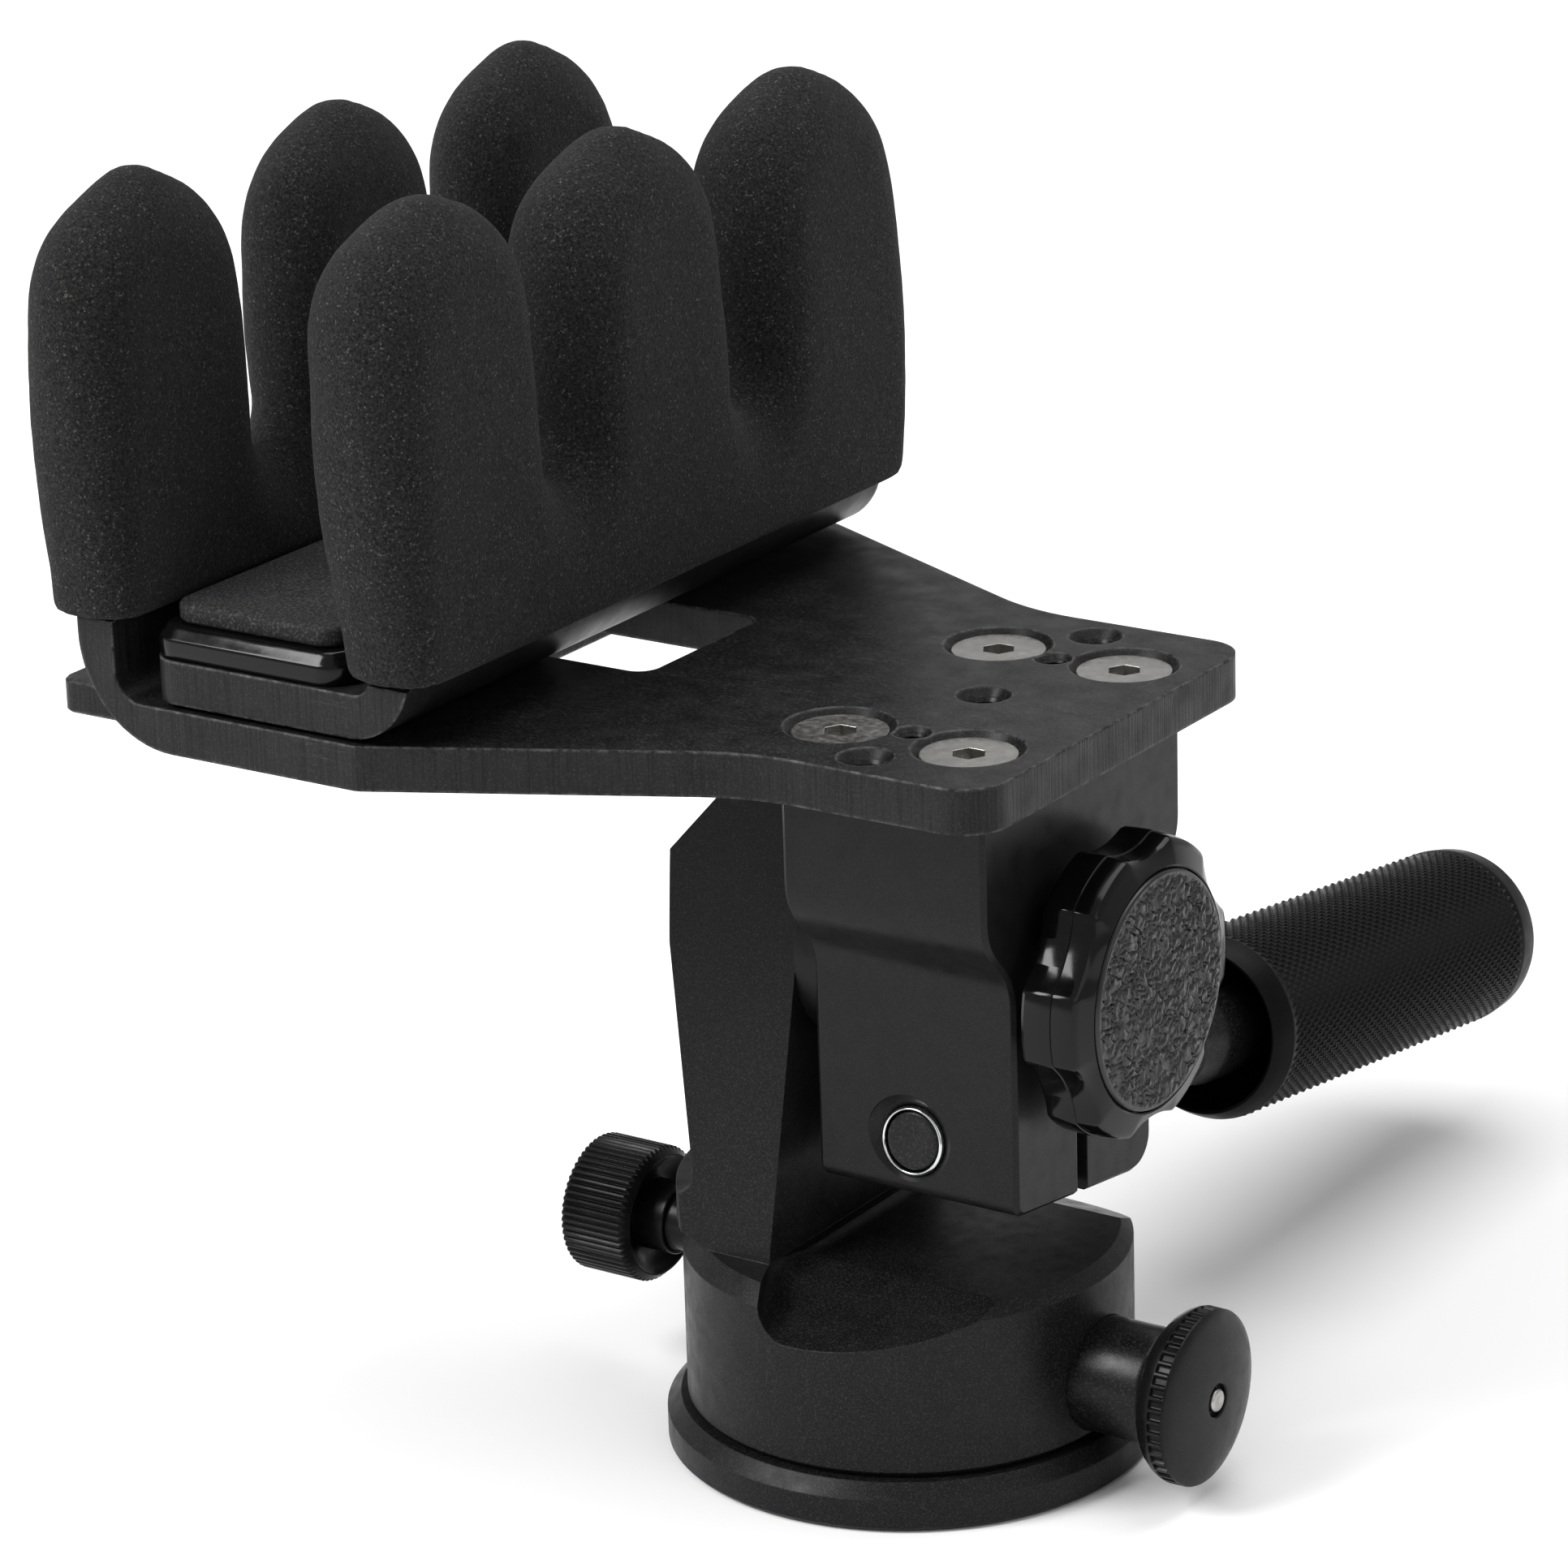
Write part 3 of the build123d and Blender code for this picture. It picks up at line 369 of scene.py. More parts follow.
def softened(profile, radius):
    """The same open polyline with every inner corner rounded to a small radius."""
    steps = 3
    out = [Vector(profile[0])]
    for before, here, after in zip(profile, profile[1:], profile[2:]):
        p, c, n = Vector(before), Vector(here), Vector(after)
        reach = min(radius, (p - c).length * 0.45, (n - c).length * 0.45)
        a = c + (p - c).normalized() * reach
        b = c + (n - c).normalized() * reach
        for k in range(steps + 1):
            t = k / steps
            out.append(a * (1 - t) ** 2 + c * 2 * t * (1 - t) + b * t * t)
    out.append(Vector(profile[-1]))
    return [tuple(v) for v in out]


def axis_frame(origin, direction):
    """Origin, unit direction, and two unit vectors square to it, the first of which leans upwards."""
    d = Vector(direction).normalized()
    side = Vector((0, 0, 1)).cross(d).normalized()
    return Vector(origin), d, d.cross(side).normalized(), side


def lathe(profile, place, around, shape=None):
    """Verts in metres and faces of a turned form. profile: (distance, radius) in mm, closed at radius 0.
    place: an axis_frame. shape(k, angle, radius, distance) may change the radius at point k."""
    origin, d, u, v = place
    verts, faces, rings = [], [], []
    for k, (s, r) in enumerate(profile):
        if r < 1e-6:
            rings.append([len(verts)])
            verts.append((origin + d * s) * MM)
            continue
        ring = []
        for i in range(around):
            a = 2 * pi * i / around
            rr = shape(k, a, r, s) if shape else r
            ring.append(len(verts))
            verts.append((origin + d * s + (u * cos(a) + v * sin(a)) * rr) * MM)
        rings.append(ring)
    for low, high in zip(rings, rings[1:]):
        if len(low) == 1 and len(high) == 1:
            continue
        for i in range(around):
            j = (i + 1) % around
            if len(low) == 1:
                faces.append((low[0], high[i], high[j]))
            elif len(high) == 1:
                faces.append((low[j], low[i], high[0]))
            else:
                faces.append((low[i], high[i], high[j], low[j]))
    return verts, faces


def turned(name, profile, place, around, stands_for, material, sharp, shape=None):
    """A lathe form made into a piece."""
    verts, faces = lathe(profile, place, around, shape)
    piece(name, verts, faces, stands_for, material, sharp)


def rounded_slab(levels, low, high, corner):
    """Verts and faces of a slab with rounded corners inside a box. levels: (inset, z) in mm, upwards."""
    centre, half = (low + high) / 2, (high - low) / 2
    steps = 8
    verts, faces = [], []
    count = 4 * (steps + 1)
    for inset, z in levels:
        r = max(corner - inset, 0.4)
        hx = half.x - inset - r
        hy = half.y - inset - r
        for quarter, (sx, sy) in enumerate(((1, 1), (-1, 1), (-1, -1), (1, -1))):
            for k in range(steps + 1):
                a = pi / 2 * (quarter + k / steps)
                x = centre.x + sx * hx + r * cos(a)
                verts.append(Vector((x, centre.y + sy * hy + r * sin(a), z)) * MM)
    for level in range(len(levels) - 1):
        for i in range(count):
            j = (i + 1) % count
            row = level * count
            faces.append((row + i, row + j, row + count + j, row + count + i))
    faces.append(tuple(reversed(range(count))))
    faces.append(tuple(range((len(levels) - 1) * count, len(levels) * count)))
    return verts, faces


def box_mm(node):
    """Low and high corner of a CAD node's box, in mm."""
    low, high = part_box(node)
    return low / MM, high / MM


def made_from(obj, name):
    """The object's evaluated mesh, modifiers applied, as plain data."""
    graph = bpy.context.evaluated_depsgraph_get()
    mesh = bpy.data.meshes.new_from_object(obj.evaluated_get(graph))
    mesh.name = name
    return mesh


# ======================================================================================
# Foam sleeves: moulded foam over three fingers, with a crest that runs over every tip
# ======================================================================================
FOAM = 4.0        # foam outside a finger's edge
TIP_TALL = 17.0   # height of the rounded tips
NIB = 1.3         # small peak on top of each tip


def sleeve(node, half, drift, valley_z, bulge, swell, lean, gap_in=12.5, gap_out=29.5):
    """One sleeve, in mm. half: half length of the metal fingers; gap_in, gap_out: where the gaps between
    them start and end; valley_z: bottom of the gaps; bulge: extra fullness of the two ends; swell: the
    same for the two broad sides; lean: how far the tips lean along X; drift: offset into the noise."""
    low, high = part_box(node)
    low_z, tip_z = low.z / MM, high.z / MM
    mid_x = (low.x + high.x) / 2 / MM
    half_x = (high.x - low.x) / 2 / MM
    middle = gap_in + FOAM
    outer = (half - gap_out) / 2 + FOAM
    outer_y = (half + gap_out) / 2
    gap_y = (gap_in + gap_out) / 2
    gap_w = (gap_out - gap_in) / 2 - FOAM
    gap_z = valley_z + FOAM + gap_w
    round_z = tip_z - TIP_TALL

    # Outline along Y: every mark is (kind, y, height or reach, side or angle).
    def line(y, z0, z1, n, side):
        return [("side", y, z0 + (z1 - z0) * k / n, side) for k in range(n)]

    def tip(y, reach, n=28):
        return [("tip", y, reach, pi - pi * k / n) for k in range(n + 1)]

    def valley(y, n=12):
        return [("valley", y, 0, pi + pi * k / n) for k in range(1, n)]

    marks = line(-outer_y - outer, low_z, round_z, 16, -1) + tip(-outer_y, outer)
    marks += line(-outer_y + outer, round_z - 2, gap_z, 5, 1) + valley(-gap_y)
    marks += line(-middle, gap_z, round_z, 5, -1) + tip(0, middle)
    marks += line(middle, round_z - 2, gap_z, 5, 1) + valley(gap_y)
    marks += line(outer_y - outer, gap_z, round_z, 5, -1) + tip(outer_y, outer)
    marks += line(outer_y + outer, round_z, low_z, 16, 1) + [("side", outer_y + outer, low_z, 1)]

    def at(mark, t):
        """Y, Z and roundness power of a mark at t: 0 in the middle of the foam, 1 at a broad side."""
        kind, y, a, b = mark
        if kind == "side":
            rise = min(max((a - low_z) / (round_z - low_z), 0), 1)
            d = t * (5.5 + 2.5 * rise)
            return y - b * d, a, 2.5 - 0.45 * rise
        if kind == "tip":
            d = t * (8.0 + 1.6 * sin(b))
            nib = NIB * np.exp(-((b - pi / 2) / 0.22) ** 2) * (1 - t) ** 2
            full = 2 / 2.2
            across = abs(cos(b)) ** full * (1 if cos(b) > 0 else -1)
            zz = (TIP_TALL - NIB - d) * abs(sin(b)) ** full + nib
            return y + (a - d) * across, round_z + zz, 2.05 - 0.30 * sin(b)
        d = t * 7.0
        return y + (gap_w + d) * cos(b), gap_z + (gap_w + d * 1.9) * sin(b), 2.1

    rings = 14
    verts, rows = [], []
    for k in range(-rings, rings + 1):
        t = 1.0 if abs(k) == rings else 1 - cos(pi / 2 * abs(k) / rings)
        row = []
        for mark in marks:
            y, z, power = at(mark, t)
            x = half_x * (1 - (1 - t) ** power) ** (1 / power)
            row.append(len(verts))
            verts.append(Vector((mid_x + (x if k > 0 else -x), y, z)) * MM)
        rows.append(row)
    faces = []
    for a, b in zip(rows, rows[1:]):
        for i in range(len(marks) - 1):
            faces.append((a[i], b[i], b[i + 1], a[i + 1]))
    faces.append(tuple(rows[0]))
    faces.append(tuple(reversed(rows[-1])))
    rim = [row[0] for row in rows] + [row[-1] for row in reversed(rows)]
    faces.append(tuple(reversed(rim)))
    draft = mesh_object("draft_" + node, verts, faces)
    remesh = draft.modifiers.new("remesh", "REMESH")
    remesh.mode = "VOXEL"
    remesh.voxel_size = 0.0010
    ease = draft.modifiers.new("ease", "SMOOTH")
    ease.factor = 0.5
    ease.iterations = 5
    foam_mesh = made_from(draft, node + "_foam")
    bpy.data.objects.remove(draft)
    count = len(foam_mesh.vertices)
    co = np.zeros(count * 3, np.float64)
    foam_mesh.vertices.foreach_get("co", co)
    co = co.reshape(-1, 3)
    nor = np.array([v.normal for v in foam_mesh.vertices])
    # The foam is fullest half way up and its tips lean a little away from the head.
    rise = np.clip((co[:, 2] / MM - low_z) / (tip_z - low_z), 0.0, 1.0)
    belly = np.sin(pi * rise ** 0.85)
    filled = np.clip(rise / 0.5, 0.0, 1.0)
    filled = filled * filled * (3 - 2 * filled)
    outside = np.clip((np.abs(co[:, 1] / MM) - outer_y) / outer, 0.0, 1.0)
    across = co[:, 0] / MM - mid_x
    wider = np.where(across < 0, swell[0] * filled, swell[1] * belly) / half_x
    co[:, 0] = (mid_x + lean * rise ** 1.5 + across * (1 + wider)) * MM
    co[:, 1] += np.where(co[:, 1] > 0, bulge[1], -bulge[0]) * belly * outside * MM
    for i in range(count):
        p = Vector(co[i]) + Vector((drift, 0, 0))
        height = noise.noise(p * 45) * 0.42 + noise.noise(p * 130) * 0.16 + noise.noise(p * 420) * 0.05
        fade = min(max((co[i][2] / MM - low_z) / 6, 0.15), 1.0)
        co[i] += nor[i] * height * MM * fade
    co[:, 2] = np.minimum(co[:, 2], tip_z * MM)
    foam_mesh.vertices.foreach_set("co", co.ravel())
    obj = in_scene(node + "_foam", foam_mesh)
    smooth(obj, 0)
    coat(obj, foam_black)
    settle(obj, node)


sleeve("fixed_jaw_sleeve", 54.4, 0.31, 127.0, (1.5, 1.5), (1.6, 0.6), -0.4, gap_in=11.7, gap_out=30.3)
sleeve("moving_jaw_sleeve", 53.2, 0.77, 129.0, (2.0, 2.6), (3.6, 0.8), -1.6)

# ======================================================================================
# Rubber pad and the glossy two-step tray under it
# ======================================================================================
PAD_CORNER, TRAY_CORNER = 3.6, 4.2
low, high = box_mm("rubber_pad")
pad_levels = [
    (0.9, low.z), (0.35, low.z + 0.15), (0.0, low.z + 0.6), (0.0, high.z - 0.75),
    (0.10, high.z - 0.45), (0.33, high.z - 0.2), (0.75, high.z - 0.06), (1.6, high.z - 0.02),
    (4.0, high.z), (9.0, high.z - 0.1)]
verts, faces = rounded_slab(pad_levels, low, high, PAD_CORNER)
pad = piece("rubber_pad_moulded", verts, faces, "rubber_pad", pad_rubber, 0)

low, high = box_mm("support_tray")
tray_levels = [
    (0.35, low.z), (0.08, low.z + 0.15), (0.0, low.z + 0.35), (0.0, low.z + 2.35),
    (0.06, low.z + 2.62), (0.2, low.z + 2.82), (0.38, low.z + 2.98), (0.95, low.z + 3.75),
    (1.15, low.z + 3.95), (1.4, high.z - 0.04), (1.8, high.z), (4.0, high.z)]
verts, faces = rounded_slab(tray_levels, low, high, TRAY_CORNER)
piece("support_tray_moulded", verts, faces, "support_tray", tray_gloss, 60)

# ======================================================================================
# Drag knob: six scallops, a parting line round the side, a bevelled face and a textured disc
# ======================================================================================
low, high = box_mm("drag_knob")
tilt_z = (low.z + high.z) / 2
tilt_axis = axis_frame((0, 0, tilt_z), (1, 0, 0))
KNOB_R, SCALLOP_R, SCALLOP_IN, LOBES = 20.0, 15.4, 1.8, 6


def knob_edge(angle):
    """Radius of the lobed outline: a circle with six round scallops, their corners eased."""
    step = 2 * pi / LOBES
    phi = (angle + step / 2) % step - step / 2
    far = KNOB_R + SCALLOP_R - SCALLOP_IN
    inside = SCALLOP_R ** 2 - (far * sin(phi)) ** 2
    scallop = far * cos(phi) - sqrt(inside) if inside > 0 else KNOB_R + 4
    blend = 0.22
    h = max(blend - abs(KNOB_R - scallop), 0) / blend
    return min(KNOB_R, scallop) - h * h * blend / 4


x0, x1 = low.x, high.x
split_x = x0 + 4.9
knob_profile = [
    (x0 + 0.4, 0.0), (x0 + 0.4, 8.0), (x0, 8.8), (x0, 17.6), (x0 + 0.12, 18.9), (x0 + 0.5, 19.55),
    (x0 + 1.0, 19.85), (split_x - 0.12, 20.0), (split_x - 0.03, 19.96), (split_x + 0.03, 19.80),
    (split_x + 0.3, 19.80), (x1 - 1.9, 19.65), (x1 - 1.35, 19.45), (x1 - 1.0, 19.05),
    (x1 - 0.82, 18.5), (x1 - 0.1, 16.5), (x1, 16.2), (x1 - 0.08, 16.0), (x1 - 0.7, 15.95),
    (x1 - 0.8, 15.6), (x1 - 0.8, 0.0)]


def lobed(k, angle, r, s):
    """Full lobes at the rim that fade out towards the disc."""
    share = min(max((r - 16.2) / 2.6, 0.0), 1.0)
    return r - (KNOB_R - knob_edge(angle)) * share


turned("drag_knob_moulded", knob_profile, tilt_axis, 360, "drag_knob", knob_gloss, 28, lobed)


def wrinkle(points):
    """Leather-like relief on a moulded disc: warped cells with sunk borders, 0 to about 1."""
    rng = np.random.default_rng(71)
    seeds = rng.uniform(-18.0, 18.0, (1000, 2))
    warp = np.array([[noise.noise(Vector((x * 0.55, y * 0.55, z))) for z in (3.1, 9.7)]
                     for x, y in points])
    fine = np.array([noise.noise(Vector((x * 1.9, y * 1.9, 5.5))) for x, y in points])
    p = points + warp * 1.15
    stretch = np.array([1.0, 0.74])
    out = np.zeros(len(p))
    for start in range(0, len(p), 4000):
        part = p[start:start + 4000]
        d = np.sqrt((((part[:, None, :] - seeds[None]) * stretch) ** 2).sum(2))
        d.partition(1, axis=1)
        out[start:start + 4000] = d[:, 1] - d[:, 0]
    ridge = np.clip((out - 0.03) / 0.34, 0, 1)
    return ridge ** 0.7 * (0.80 + 0.34 * fine)


def even_disc(reach, rings_n):
    """Flat disc of rings with 6, 12, 18... points: its points, triangles and each ring's first point."""
    points, faces, ring_start = [(0.0, 0.0)], [], [0]
    for ring in range(1, rings_n + 1):
        ring_start.append(len(points))
        for i in range(6 * ring):
            a = 2 * pi * i / (6 * ring)
            points.append((reach * ring / rings_n * cos(a), reach * ring / rings_n * sin(a)))
    for ring in range(1, rings_n + 1):
        inner_n, outer_n = 6 * (ring - 1), 6 * ring
        i = j = 0
        while j < outer_n:
            a, b = ring_start[ring] + j, ring_start[ring] + (j + 1) % outer_n
            if ring == 1:
                faces.append((0, a, b))
                j += 1
                continue
            c = ring_start[ring - 1] + i % inner_n
            if (j + 1) * inner_n <= (i + 1) * outer_n:
                faces.append((c, a, b))
                j += 1
            else:
                d = ring_start[ring - 1] + (i + 1) % inner_n
                faces.append((c, a, d))
                i += 1
    return points, faces, ring_start


disc_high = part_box("knob_insert")[1]
disc_r, top_x = disc_high.y / MM, disc_high.x / MM
rings_n = int(disc_r / (0.17))
points, faces, ring_start = even_disc(disc_r, rings_n)
flat = np.array(points)
radius = np.hypot(flat[:, 0], flat[:, 1])
relief = wrinkle(flat)
fade = np.clip((disc_r - 0.55 - radius) / 0.5, 0, 1)
crown = 0.45 * (1 - (radius / disc_r) ** 2)
dimple = -0.55 * np.exp(-(radius / 0.9) ** 2)
edge_drop = -0.55 * np.clip((radius - disc_r + 0.35) / 0.35, 0, 1) ** 2
height = top_x - 0.55 + crown + dimple + edge_drop + 0.52 * (relief - 0.6) * fade
height = np.minimum(height, top_x)
verts = [Vector((h, y, tilt_z + z)) * MM for h, (y, z) in zip(height, points)]
rim_start = ring_start[rings_n]
rim_n = 6 * rings_n
base = len(verts)
for i in range(rim_n):
    y, z = points[rim_start + i]
    verts.append(Vector((top_x - 1.6, y, tilt_z + z)) * MM)
for i in range(rim_n):
    j = (i + 1) % rim_n
    faces.append((rim_start + i, base + i, base + j, rim_start + j))
faces.append(tuple(base + i for i in reversed(range(rim_n))))
piece("knob_insert_textured", verts, faces, "knob_insert", knob_texture, 60)

# ======================================================================================
# Clamp handle: diamond-knurled grip, plain collar, recess and neck
# ======================================================================================
low, high = box_mm("handle_grip")
CLAMP_SLOPE = radians(7.9)
STUD_Y, STUD_Z = -16.2, 49.0
handle_axis = axis_frame(((low.x + high.x) / 2, STUD_Y, STUD_Z), (0, cos(CLAMP_SLOPE), -sin(CLAMP_SLOPE)))
STARTS, WAVE = 66, 2.13
VALLEY_R, TIP_R, END_R = 12.98, 13.3, 13.18
FLAT = 0.17
knurl_s0, knurl_rows = 79.6, 66
origin, axis_d, axis_u, axis_v = handle_axis


def on_grip(s, angle, r):
    return (origin + axis_d * s + (axis_u * cos(angle) + axis_v * sin(angle)) * r) * MM


# Knurl: valley corners where row + col is odd, and a pyramid with a flat top where it is even.
half_turn = pi / STARTS
verts, faces = [], []
grid = {}
for row in range(knurl_rows + 1):
    for col in range(2 * STARTS):
        at_end = row in (0, knurl_rows)
        if at_end or (row + col) % 2:
            grid[row, col] = len(verts)
            r = END_R if at_end else VALLEY_R
            verts.append(on_grip(knurl_s0 + row * WAVE / 2, col * half_turn, r))
for row in range(1, knurl_rows):
    for col in range(2 * STARTS):
        if (row + col) % 2:
            continue
        east, west = grid[row, (col + 1) % (2 * STARTS)], grid[row, (col - 1) % (2 * STARTS)]
        north, south = grid[row + 1, col], grid[row - 1, col]
        top = []
        for ds, da in ((0, 1), (1, 0), (0, -1), (-1, 0)):
            top.append(len(verts))
            s = knurl_s0 + (row + ds * FLAT) * WAVE / 2
            verts.append(on_grip(s, (col + da * FLAT) * half_turn, TIP_R))
        ring = (east, north, west, south)
        for k in range(4):
            faces.append((ring[k], ring[(k + 1) % 4], top[(k + 1) % 4], top[k]))
        faces.append(tuple(top))
for row, step_row, flip in ((0, 1, False), (knurl_rows, -1, True)):
    for col in range(2 * STARTS):
        if (row + col) % 2:
            continue
        a, b = grid[row, (col - 1) % (2 * STARTS)], grid[row, (col + 1) % (2 * STARTS)]
        mid, tip_v = grid[row, col], grid[row + step_row, col]
        faces.append((b, mid, tip_v) if flip else (mid, b, tip_v))
        faces.append((mid, a, tip_v) if flip else (a, mid, tip_v))
knurl_faces = [tuple(reversed(f)) for f in faces]
knurl_s1 = knurl_s0 + knurl_rows * WAVE / 2
front = softened([
    (knurl_s0, END_R), (knurl_s0 - 0.4, TIP_R - 0.1), (77.4, 12.55), (75.6, 11.75),
    (75.75, 11.3), (84.0, 11.3), (86.6, 7.2)], 0.3)
back = softened([
    (knurl_s1, END_R), (knurl_s1 + 0.5, TIP_R - 0.06), (154.4, 12.8), (155.6, 11.9), (156.3, 10.6),
    (156.5, 9.2)], 0.7)
back += [(156.5, 8.9), (156.42, 4.0), (156.4, 0.0)]


def strip(profile, around, first_ring):
    """Turned skin from a ring of vertices that is already there."""
    rows = [first_ring]
    for s, r in profile[1:]:
        if r < 1e-6:
            rows.append([len(verts)])
            verts.append(on_grip(s, 0, 0))
            continue
        rows.append(list(range(len(verts), len(verts) + around)))
        for i in range(around):
            verts.append(on_grip(s, i * half_turn, r))
    for a, b in zip(rows, rows[1:]):
        for i in range(around):
            j = (i + 1) % around
            if len(b) == 1:
                yield (a[i], a[j], b[0])
            else:
                yield (a[i], a[j], b[j], b[i])


first = [grid[0, col] for col in range(2 * STARTS)]
last = [grid[knurl_rows, col] for col in range(2 * STARTS)]
skin = [tuple(f) for f in strip(front, 2 * STARTS, first)]
tail = [tuple(reversed(f)) for f in strip(back, 2 * STARTS, last)]
grip = piece("handle_grip_knurled", verts, knurl_faces + skin + tail, "handle_grip", grip_black, 24)
shape = bmesh.new()
shape.from_mesh(grip.data)
bmesh.ops.recalc_face_normals(shape, faces=shape.faces)
shape.to_mesh(grip.data)
shape.free()
smooth(grip, 24)

neck = softened([
    (33.4, 4.2), (33.4, 7.4), (33.9, 7.6), (36.0, 7.6), (38.6, 6.0), (67.5, 6.0), (71.6, 6.9),
    (72.4, 7.0), (92.0, 7.0), (92.0, 0.0)], 0.5)
turned("handle_neck", neck, handle_axis, 128, "handle_stem", turned_black, 40)

# Stud end: black disc inside a bright turned ring.
ring_profile = softened([
    (5.9, 4.72), (1.5, 4.72), (0.75, 4.62), (0.45, 4.3), (0.6, 4.12), (1.4, 4.06), (5.9, 4.06)], 0.12)
turned("clamp_ring_bright", ring_profile, handle_axis, 96, "clamp_nut", chrome, 60)
stud_profile = softened([
    (60.0, 0.0), (60.0, 3.98), (1.25, 3.98), (0.72, 3.75), (0.66, 3.2), (0.78, 0.0)], 0.2)
turned("clamp_stud_black", stud_profile, handle_axis, 96, "clamp_stud", turned_black, 40)

# ======================================================================================
# Pan lock knob: straight ribs, chamfered ends, hollow inner face
# ======================================================================================
low, high = box_mm("pan_lock_knob")
lock_axis = axis_frame((0, 0, (low.z + high.z) / 2), (1, 0, 0))
RIBS = 58
LOCK_R, RIB = 9.5, 0.5
lx0, lx1 = low.x, -39.5
lock_profile = [
    (lx0 + 0.4, 0.0), (lx0 + 0.4, 2.6), (lx0 + 0.1, 3.2), (lx0, 3.6), (lx0, 8.9), (lx0 + 0.04, 9.2),
    (lx0 + 0.2, 9.42), (lx0 + 0.4, LOCK_R), (lx0 + 4.0, LOCK_R)]
lock_profile += [(lx1 - 0.2 * k, LOCK_R) for k in range(8, 1, -1)]
lock_profile += [
    (lx1 - 0.1, LOCK_R), (lx1, 8.45), (lx1 - 0.12, 8.2), (lx1 - 0.7, 7.5), (lx1 - 1.9, 5.6),
    (lx1 - 1.95, 4.95), (-36.85, 4.95), (-36.65, 4.8), (-36.55, 4.3), (-36.4, 4.2), (-33.7, 4.2),
    (-33.6, 4.0), (-33.6, 3.0)]
RIBBED = range(5, 17)  # profile points that carry ribs


def ribbed(k, angle, r, s):
    """Straight ribs between the two end faces, cut back by a cone at the inner end."""
    if k not in RIBBED:
        return r
    wave = abs(((angle * RIBS / (2 * pi)) % 1.0) * 2 - 1)
    rib = r - RIB * (1 - min(wave * 1.5, 1.0))
    return min(rib, LOCK_R + 0.1 - 1.15 * max(s - (lx1 - 1.25), 0.0))


turned("pan_lock_knob_ribbed", lock_profile, lock_axis, RIBS * 8, "pan_lock_knob", knurl_black, 30,
        ribbed)

# ======================================================================================
# Pull pin: coarse barrel, notched pull knob with a domed face, bright pin end in a dark ring
# ======================================================================================
low, high = box_mm("plunger_barrel")
plunger_axis = axis_frame((0, 0, (low.z + high.z) / 2), (1, 0, 0))
NOTCHES = 46
NOTCHED = (9, 10)  # profile points that carry notches
knob_profile = [
    (40.4, 1.7), (40.4, 9.0), (40.45, 9.5), (40.65, 9.9), (41.2, 10.6), (42.0, 11.25), (42.7, 11.62),
    (43.1, 11.75), (43.3, 11.8), (43.5, 11.8), (45.15, 11.8), (45.35, 11.8), (45.6, 11.68),
    (45.8, 11.3), (46.1, 10.4), (46.4, 9.2), (46.7, 7.6), (46.95, 5.8), (47.12, 4.2), (47.2, 3.0),
    (47.2, 2.45), (47.05, 2.25), (46.4, 2.2), (46.4, 1.65)]


def notched(k, angle, r, s):
    """A band of flat-bottomed cells with thin walls between them."""
    if k not in NOTCHED:
        return r
    wave = abs(((angle * NOTCHES / (2 * pi)) % 1.0) * 2 - 1)
    return r - 0.5 * (1 - min(max((wave - 0.55) / 0.25, 0.0), 1.0))


turned("pull_knob_notched", knob_profile, plunger_axis, NOTCHES * 10, "plunger_knob", knurl_black,
        30, notched)
pin_profile = softened([
    (16.6, 0.0), (16.6, 1.6), (17.6, 2.3), (24.8, 2.3), (24.8, 3.9), (26.0, 3.9), (26.0, 1.6),
    (47.1, 1.55), (47.38, 1.3), (47.4, 0.9), (47.3, 0.35), (47.25, 0.0)], 0.1)
turned("pull_pin_turned", pin_profile, plunger_axis, 64, "plunger_pin", bright_steel, 40)
barrel_profile = softened([
    (24.05, 3.4), (24.05, 6.05), (28.65, 6.05), (28.65, 7.6), (28.8, 7.75), (39.2, 7.75), (39.9, 7.1),
    (39.9, 3.3), (36.6, 3.3)], 0.35)
turned("pull_pin_barrel", barrel_profile, plunger_axis, 128, "plunger_barrel", turned_black, 40)

# ======================================================================================
# Threads in the plate's holes
# ======================================================================================
PLATE_T = 6.0
plate_bottom = box_mm("saddle_plate")[0].z
low, high = box_mm("plate_screws")
hole_x = (low.x + high.x) / 2


def threads(name, rows_y, r_out, r_in, pitch, top_gap):
    """Thread forms that line the plate's holes, one for each Y."""
    verts, faces = [], []
    turns = int((PLATE_T - top_gap - 0.3) / pitch)
    form = ((0.0, r_out), (0.42, r_in), (0.55, r_in), (0.97, r_out))
    profile = []
    for k in range(turns):
        z = plate_bottom + PLATE_T - top_gap - k * pitch
        profile += [(z - pitch * share, r) for share, r in form]
    for y in rows_y:
        place = (Vector((hole_x, y, 0)), Vector((0, 0, 1)), Vector((1, 0, 0)), Vector((0, 1, 0)))
        v, f = lathe(profile, place, 48)
        shift = len(verts)
        verts += v
        faces += [tuple(i + shift for i in face) for face in f]
    piece(name, verts, faces, "saddle_plate", turned_black, 25, replace=False)


QUARTER_ROW, SMALL_ROW = 27.94, 17.1
threads("plate_quarter_inch_threads", (0, QUARTER_ROW, -QUARTER_ROW), 2.62, 2.25, 1.27, 1.2)
threads("plate_small_threads", (SMALL_ROW, -SMALL_ROW), 2.02, 1.70, 0.8, 0.8)

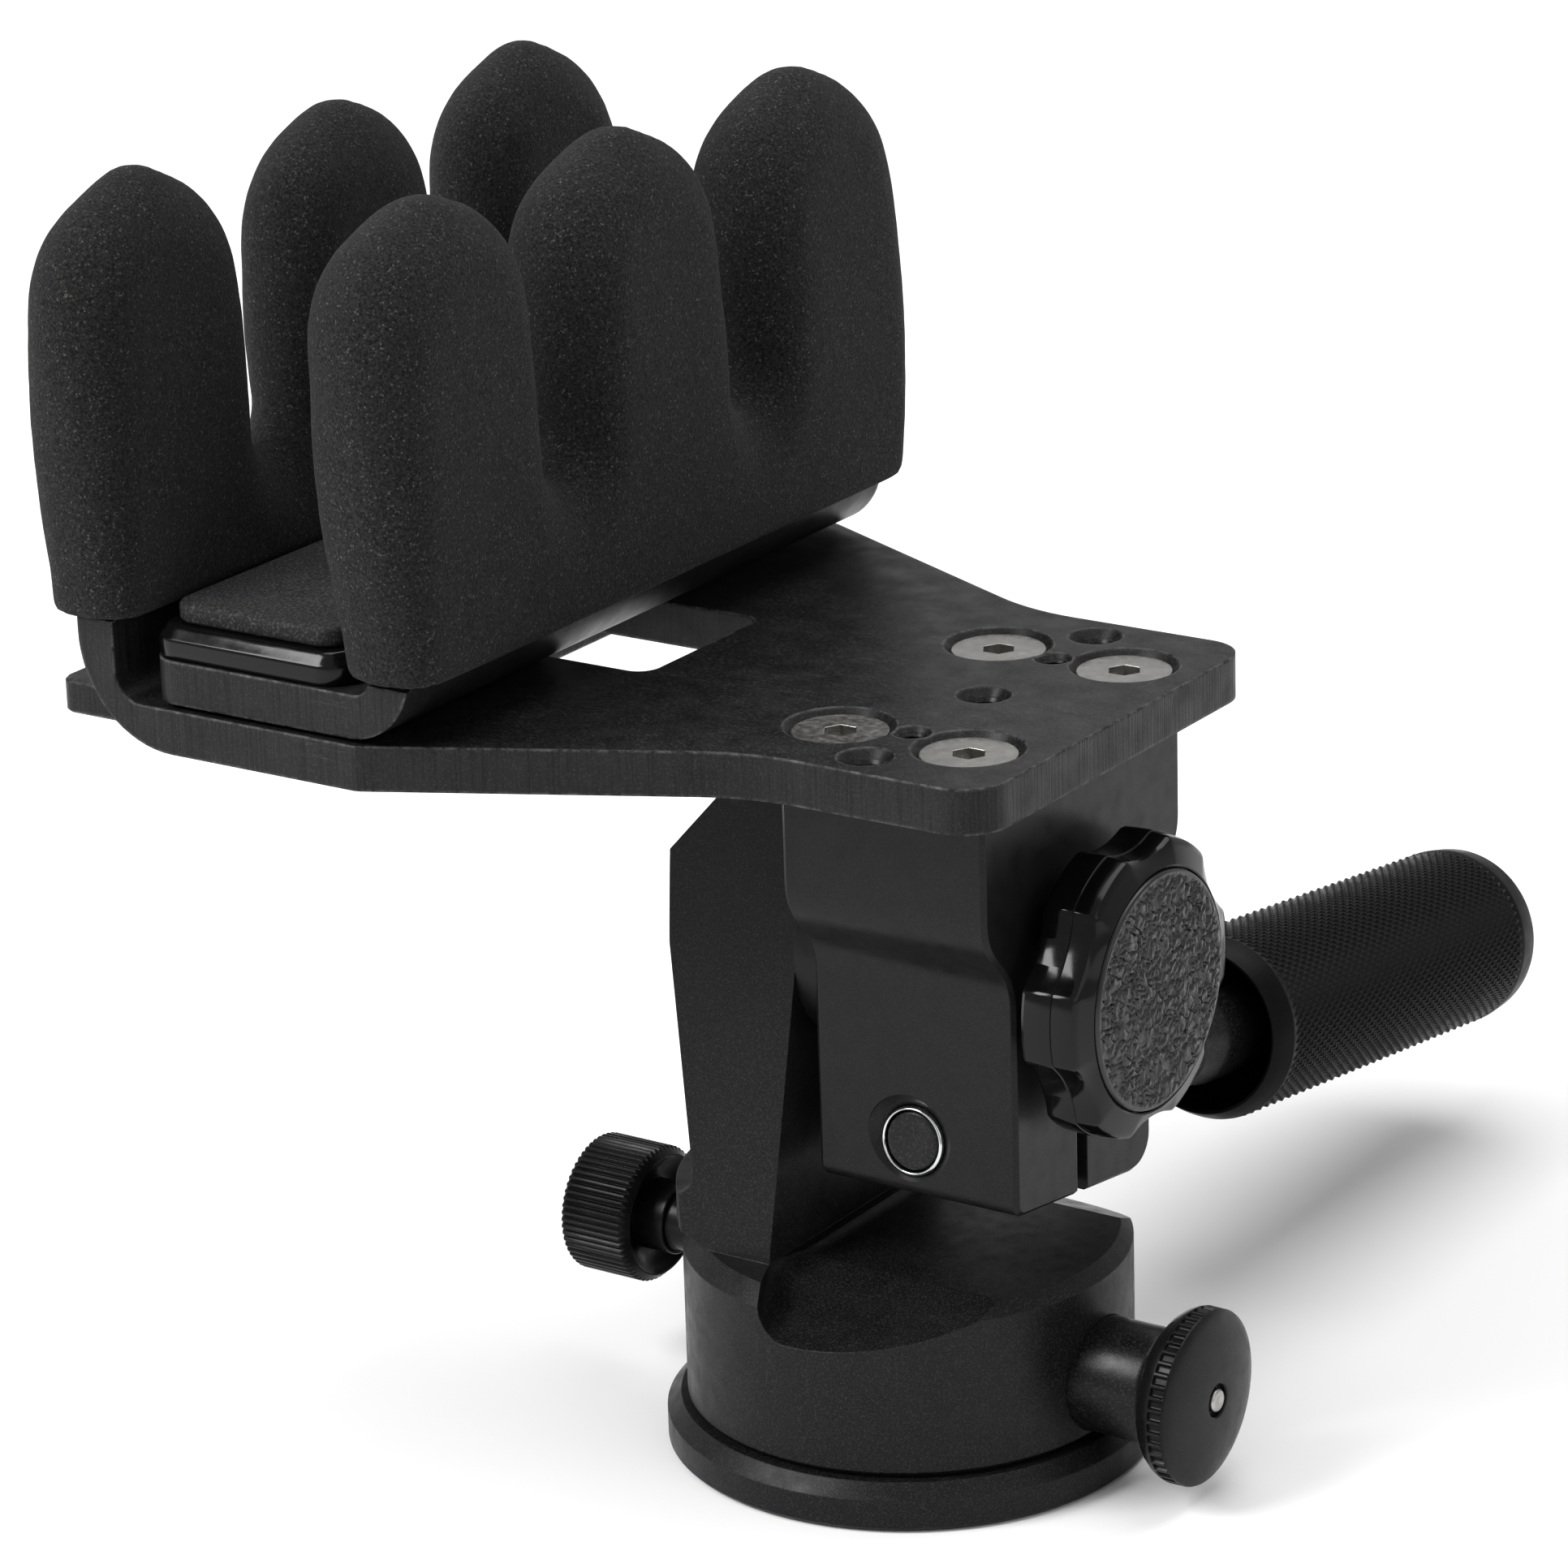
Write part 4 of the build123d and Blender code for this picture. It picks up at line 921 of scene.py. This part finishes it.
# ======================================================================================
# Stage: pale floor, soft light, camera
# ======================================================================================
floor_mat = Finish("floor_paper")
tone = floor_mat.noise(6.0, 3.0)
floor_mat.link(floor_mat.mix(floor_mat.span(tone, 0.3, 0.7), (0.86, 0.86, 0.86), (0.88, 0.88, 0.875)),
               floor_mat.bsdf.inputs["Base Color"])
floor_mat.link(floor_mat.bump(floor_mat.noise(900.0, 3.0), 0.00005, 0.1), floor_mat.bsdf.inputs["Normal"])
floor_mat.bsdf.inputs["Roughness"].default_value = 0.9
floor_mat.bsdf.inputs["Specular IOR Level"].default_value = 0.1
REACH, FLOOR_GAP = 6.0, 0.0002
floor_z = cad_box[0][2] - FLOOR_GAP
corners = [(x * REACH, y * REACH, floor_z) for x, y in ((-1, -1), (1, -1), (1, 1), (-1, 1))]
floor = mesh_object("floor", corners, [(0, 1, 2, 3)])
coat(floor, floor_mat.mat)

LIT_POINT = Vector((-0.03, 0.03, 0.085))


def area_light(name, place, power, width):
    """A square light that faces the object."""
    data = bpy.data.lights.new(name, "AREA")
    data.shape = "SQUARE"
    data.size = width
    data.energy = power
    obj = in_scene(name, data)
    obj.location = place
    obj.rotation_euler = (LIT_POINT - Vector(place)).to_track_quat("-Z", "Y").to_euler()


area_light("key", (-0.75, -0.95, 1.15), 26.0, 0.7)
area_light("fill", (1.15, -0.35, 0.75), 2.5, 0.9)
area_light("top", (0.0, 0.35, 1.4), 15.0, 1.2)
world = bpy.data.worlds.new("studio")
world.use_nodes = True
sky = world.node_tree.nodes["Background"]
sky.inputs["Color"].default_value = (1.0, 1.0, 1.0, 1.0)
sky.inputs["Strength"].default_value = 0.56
bpy.context.scene.world = world

CAM_AZ, CAM_EL, CAM_ROLL = radians(34.196), radians(19.025), radians(-1.785)
CAM_PLACE = (0.39257, -0.60636, 0.34047)
forward = -Vector((sin(CAM_AZ) * cos(CAM_EL), -cos(CAM_AZ) * cos(CAM_EL), sin(CAM_EL)))
right = forward.cross(Vector((0, 0, 1))).normalized()
above = right.cross(forward)
level, upright = right, above
right = level * cos(CAM_ROLL) + upright * sin(CAM_ROLL)
above = upright * cos(CAM_ROLL) - level * sin(CAM_ROLL)
camera_data = bpy.data.cameras.new("camera")
camera_data.lens = 135.43
camera_data.sensor_width = 36.0
camera_data.shift_x = 0.00704
camera_data.shift_y = 0.00067
camera_data.clip_start = 0.01
camera = in_scene("camera", camera_data)
turn = Matrix((right, above, -forward)).transposed().to_4x4()
turn.translation = CAM_PLACE
camera.matrix_world = turn
bpy.context.scene.camera = camera
bpy.context.scene.view_settings.view_transform = "Standard"
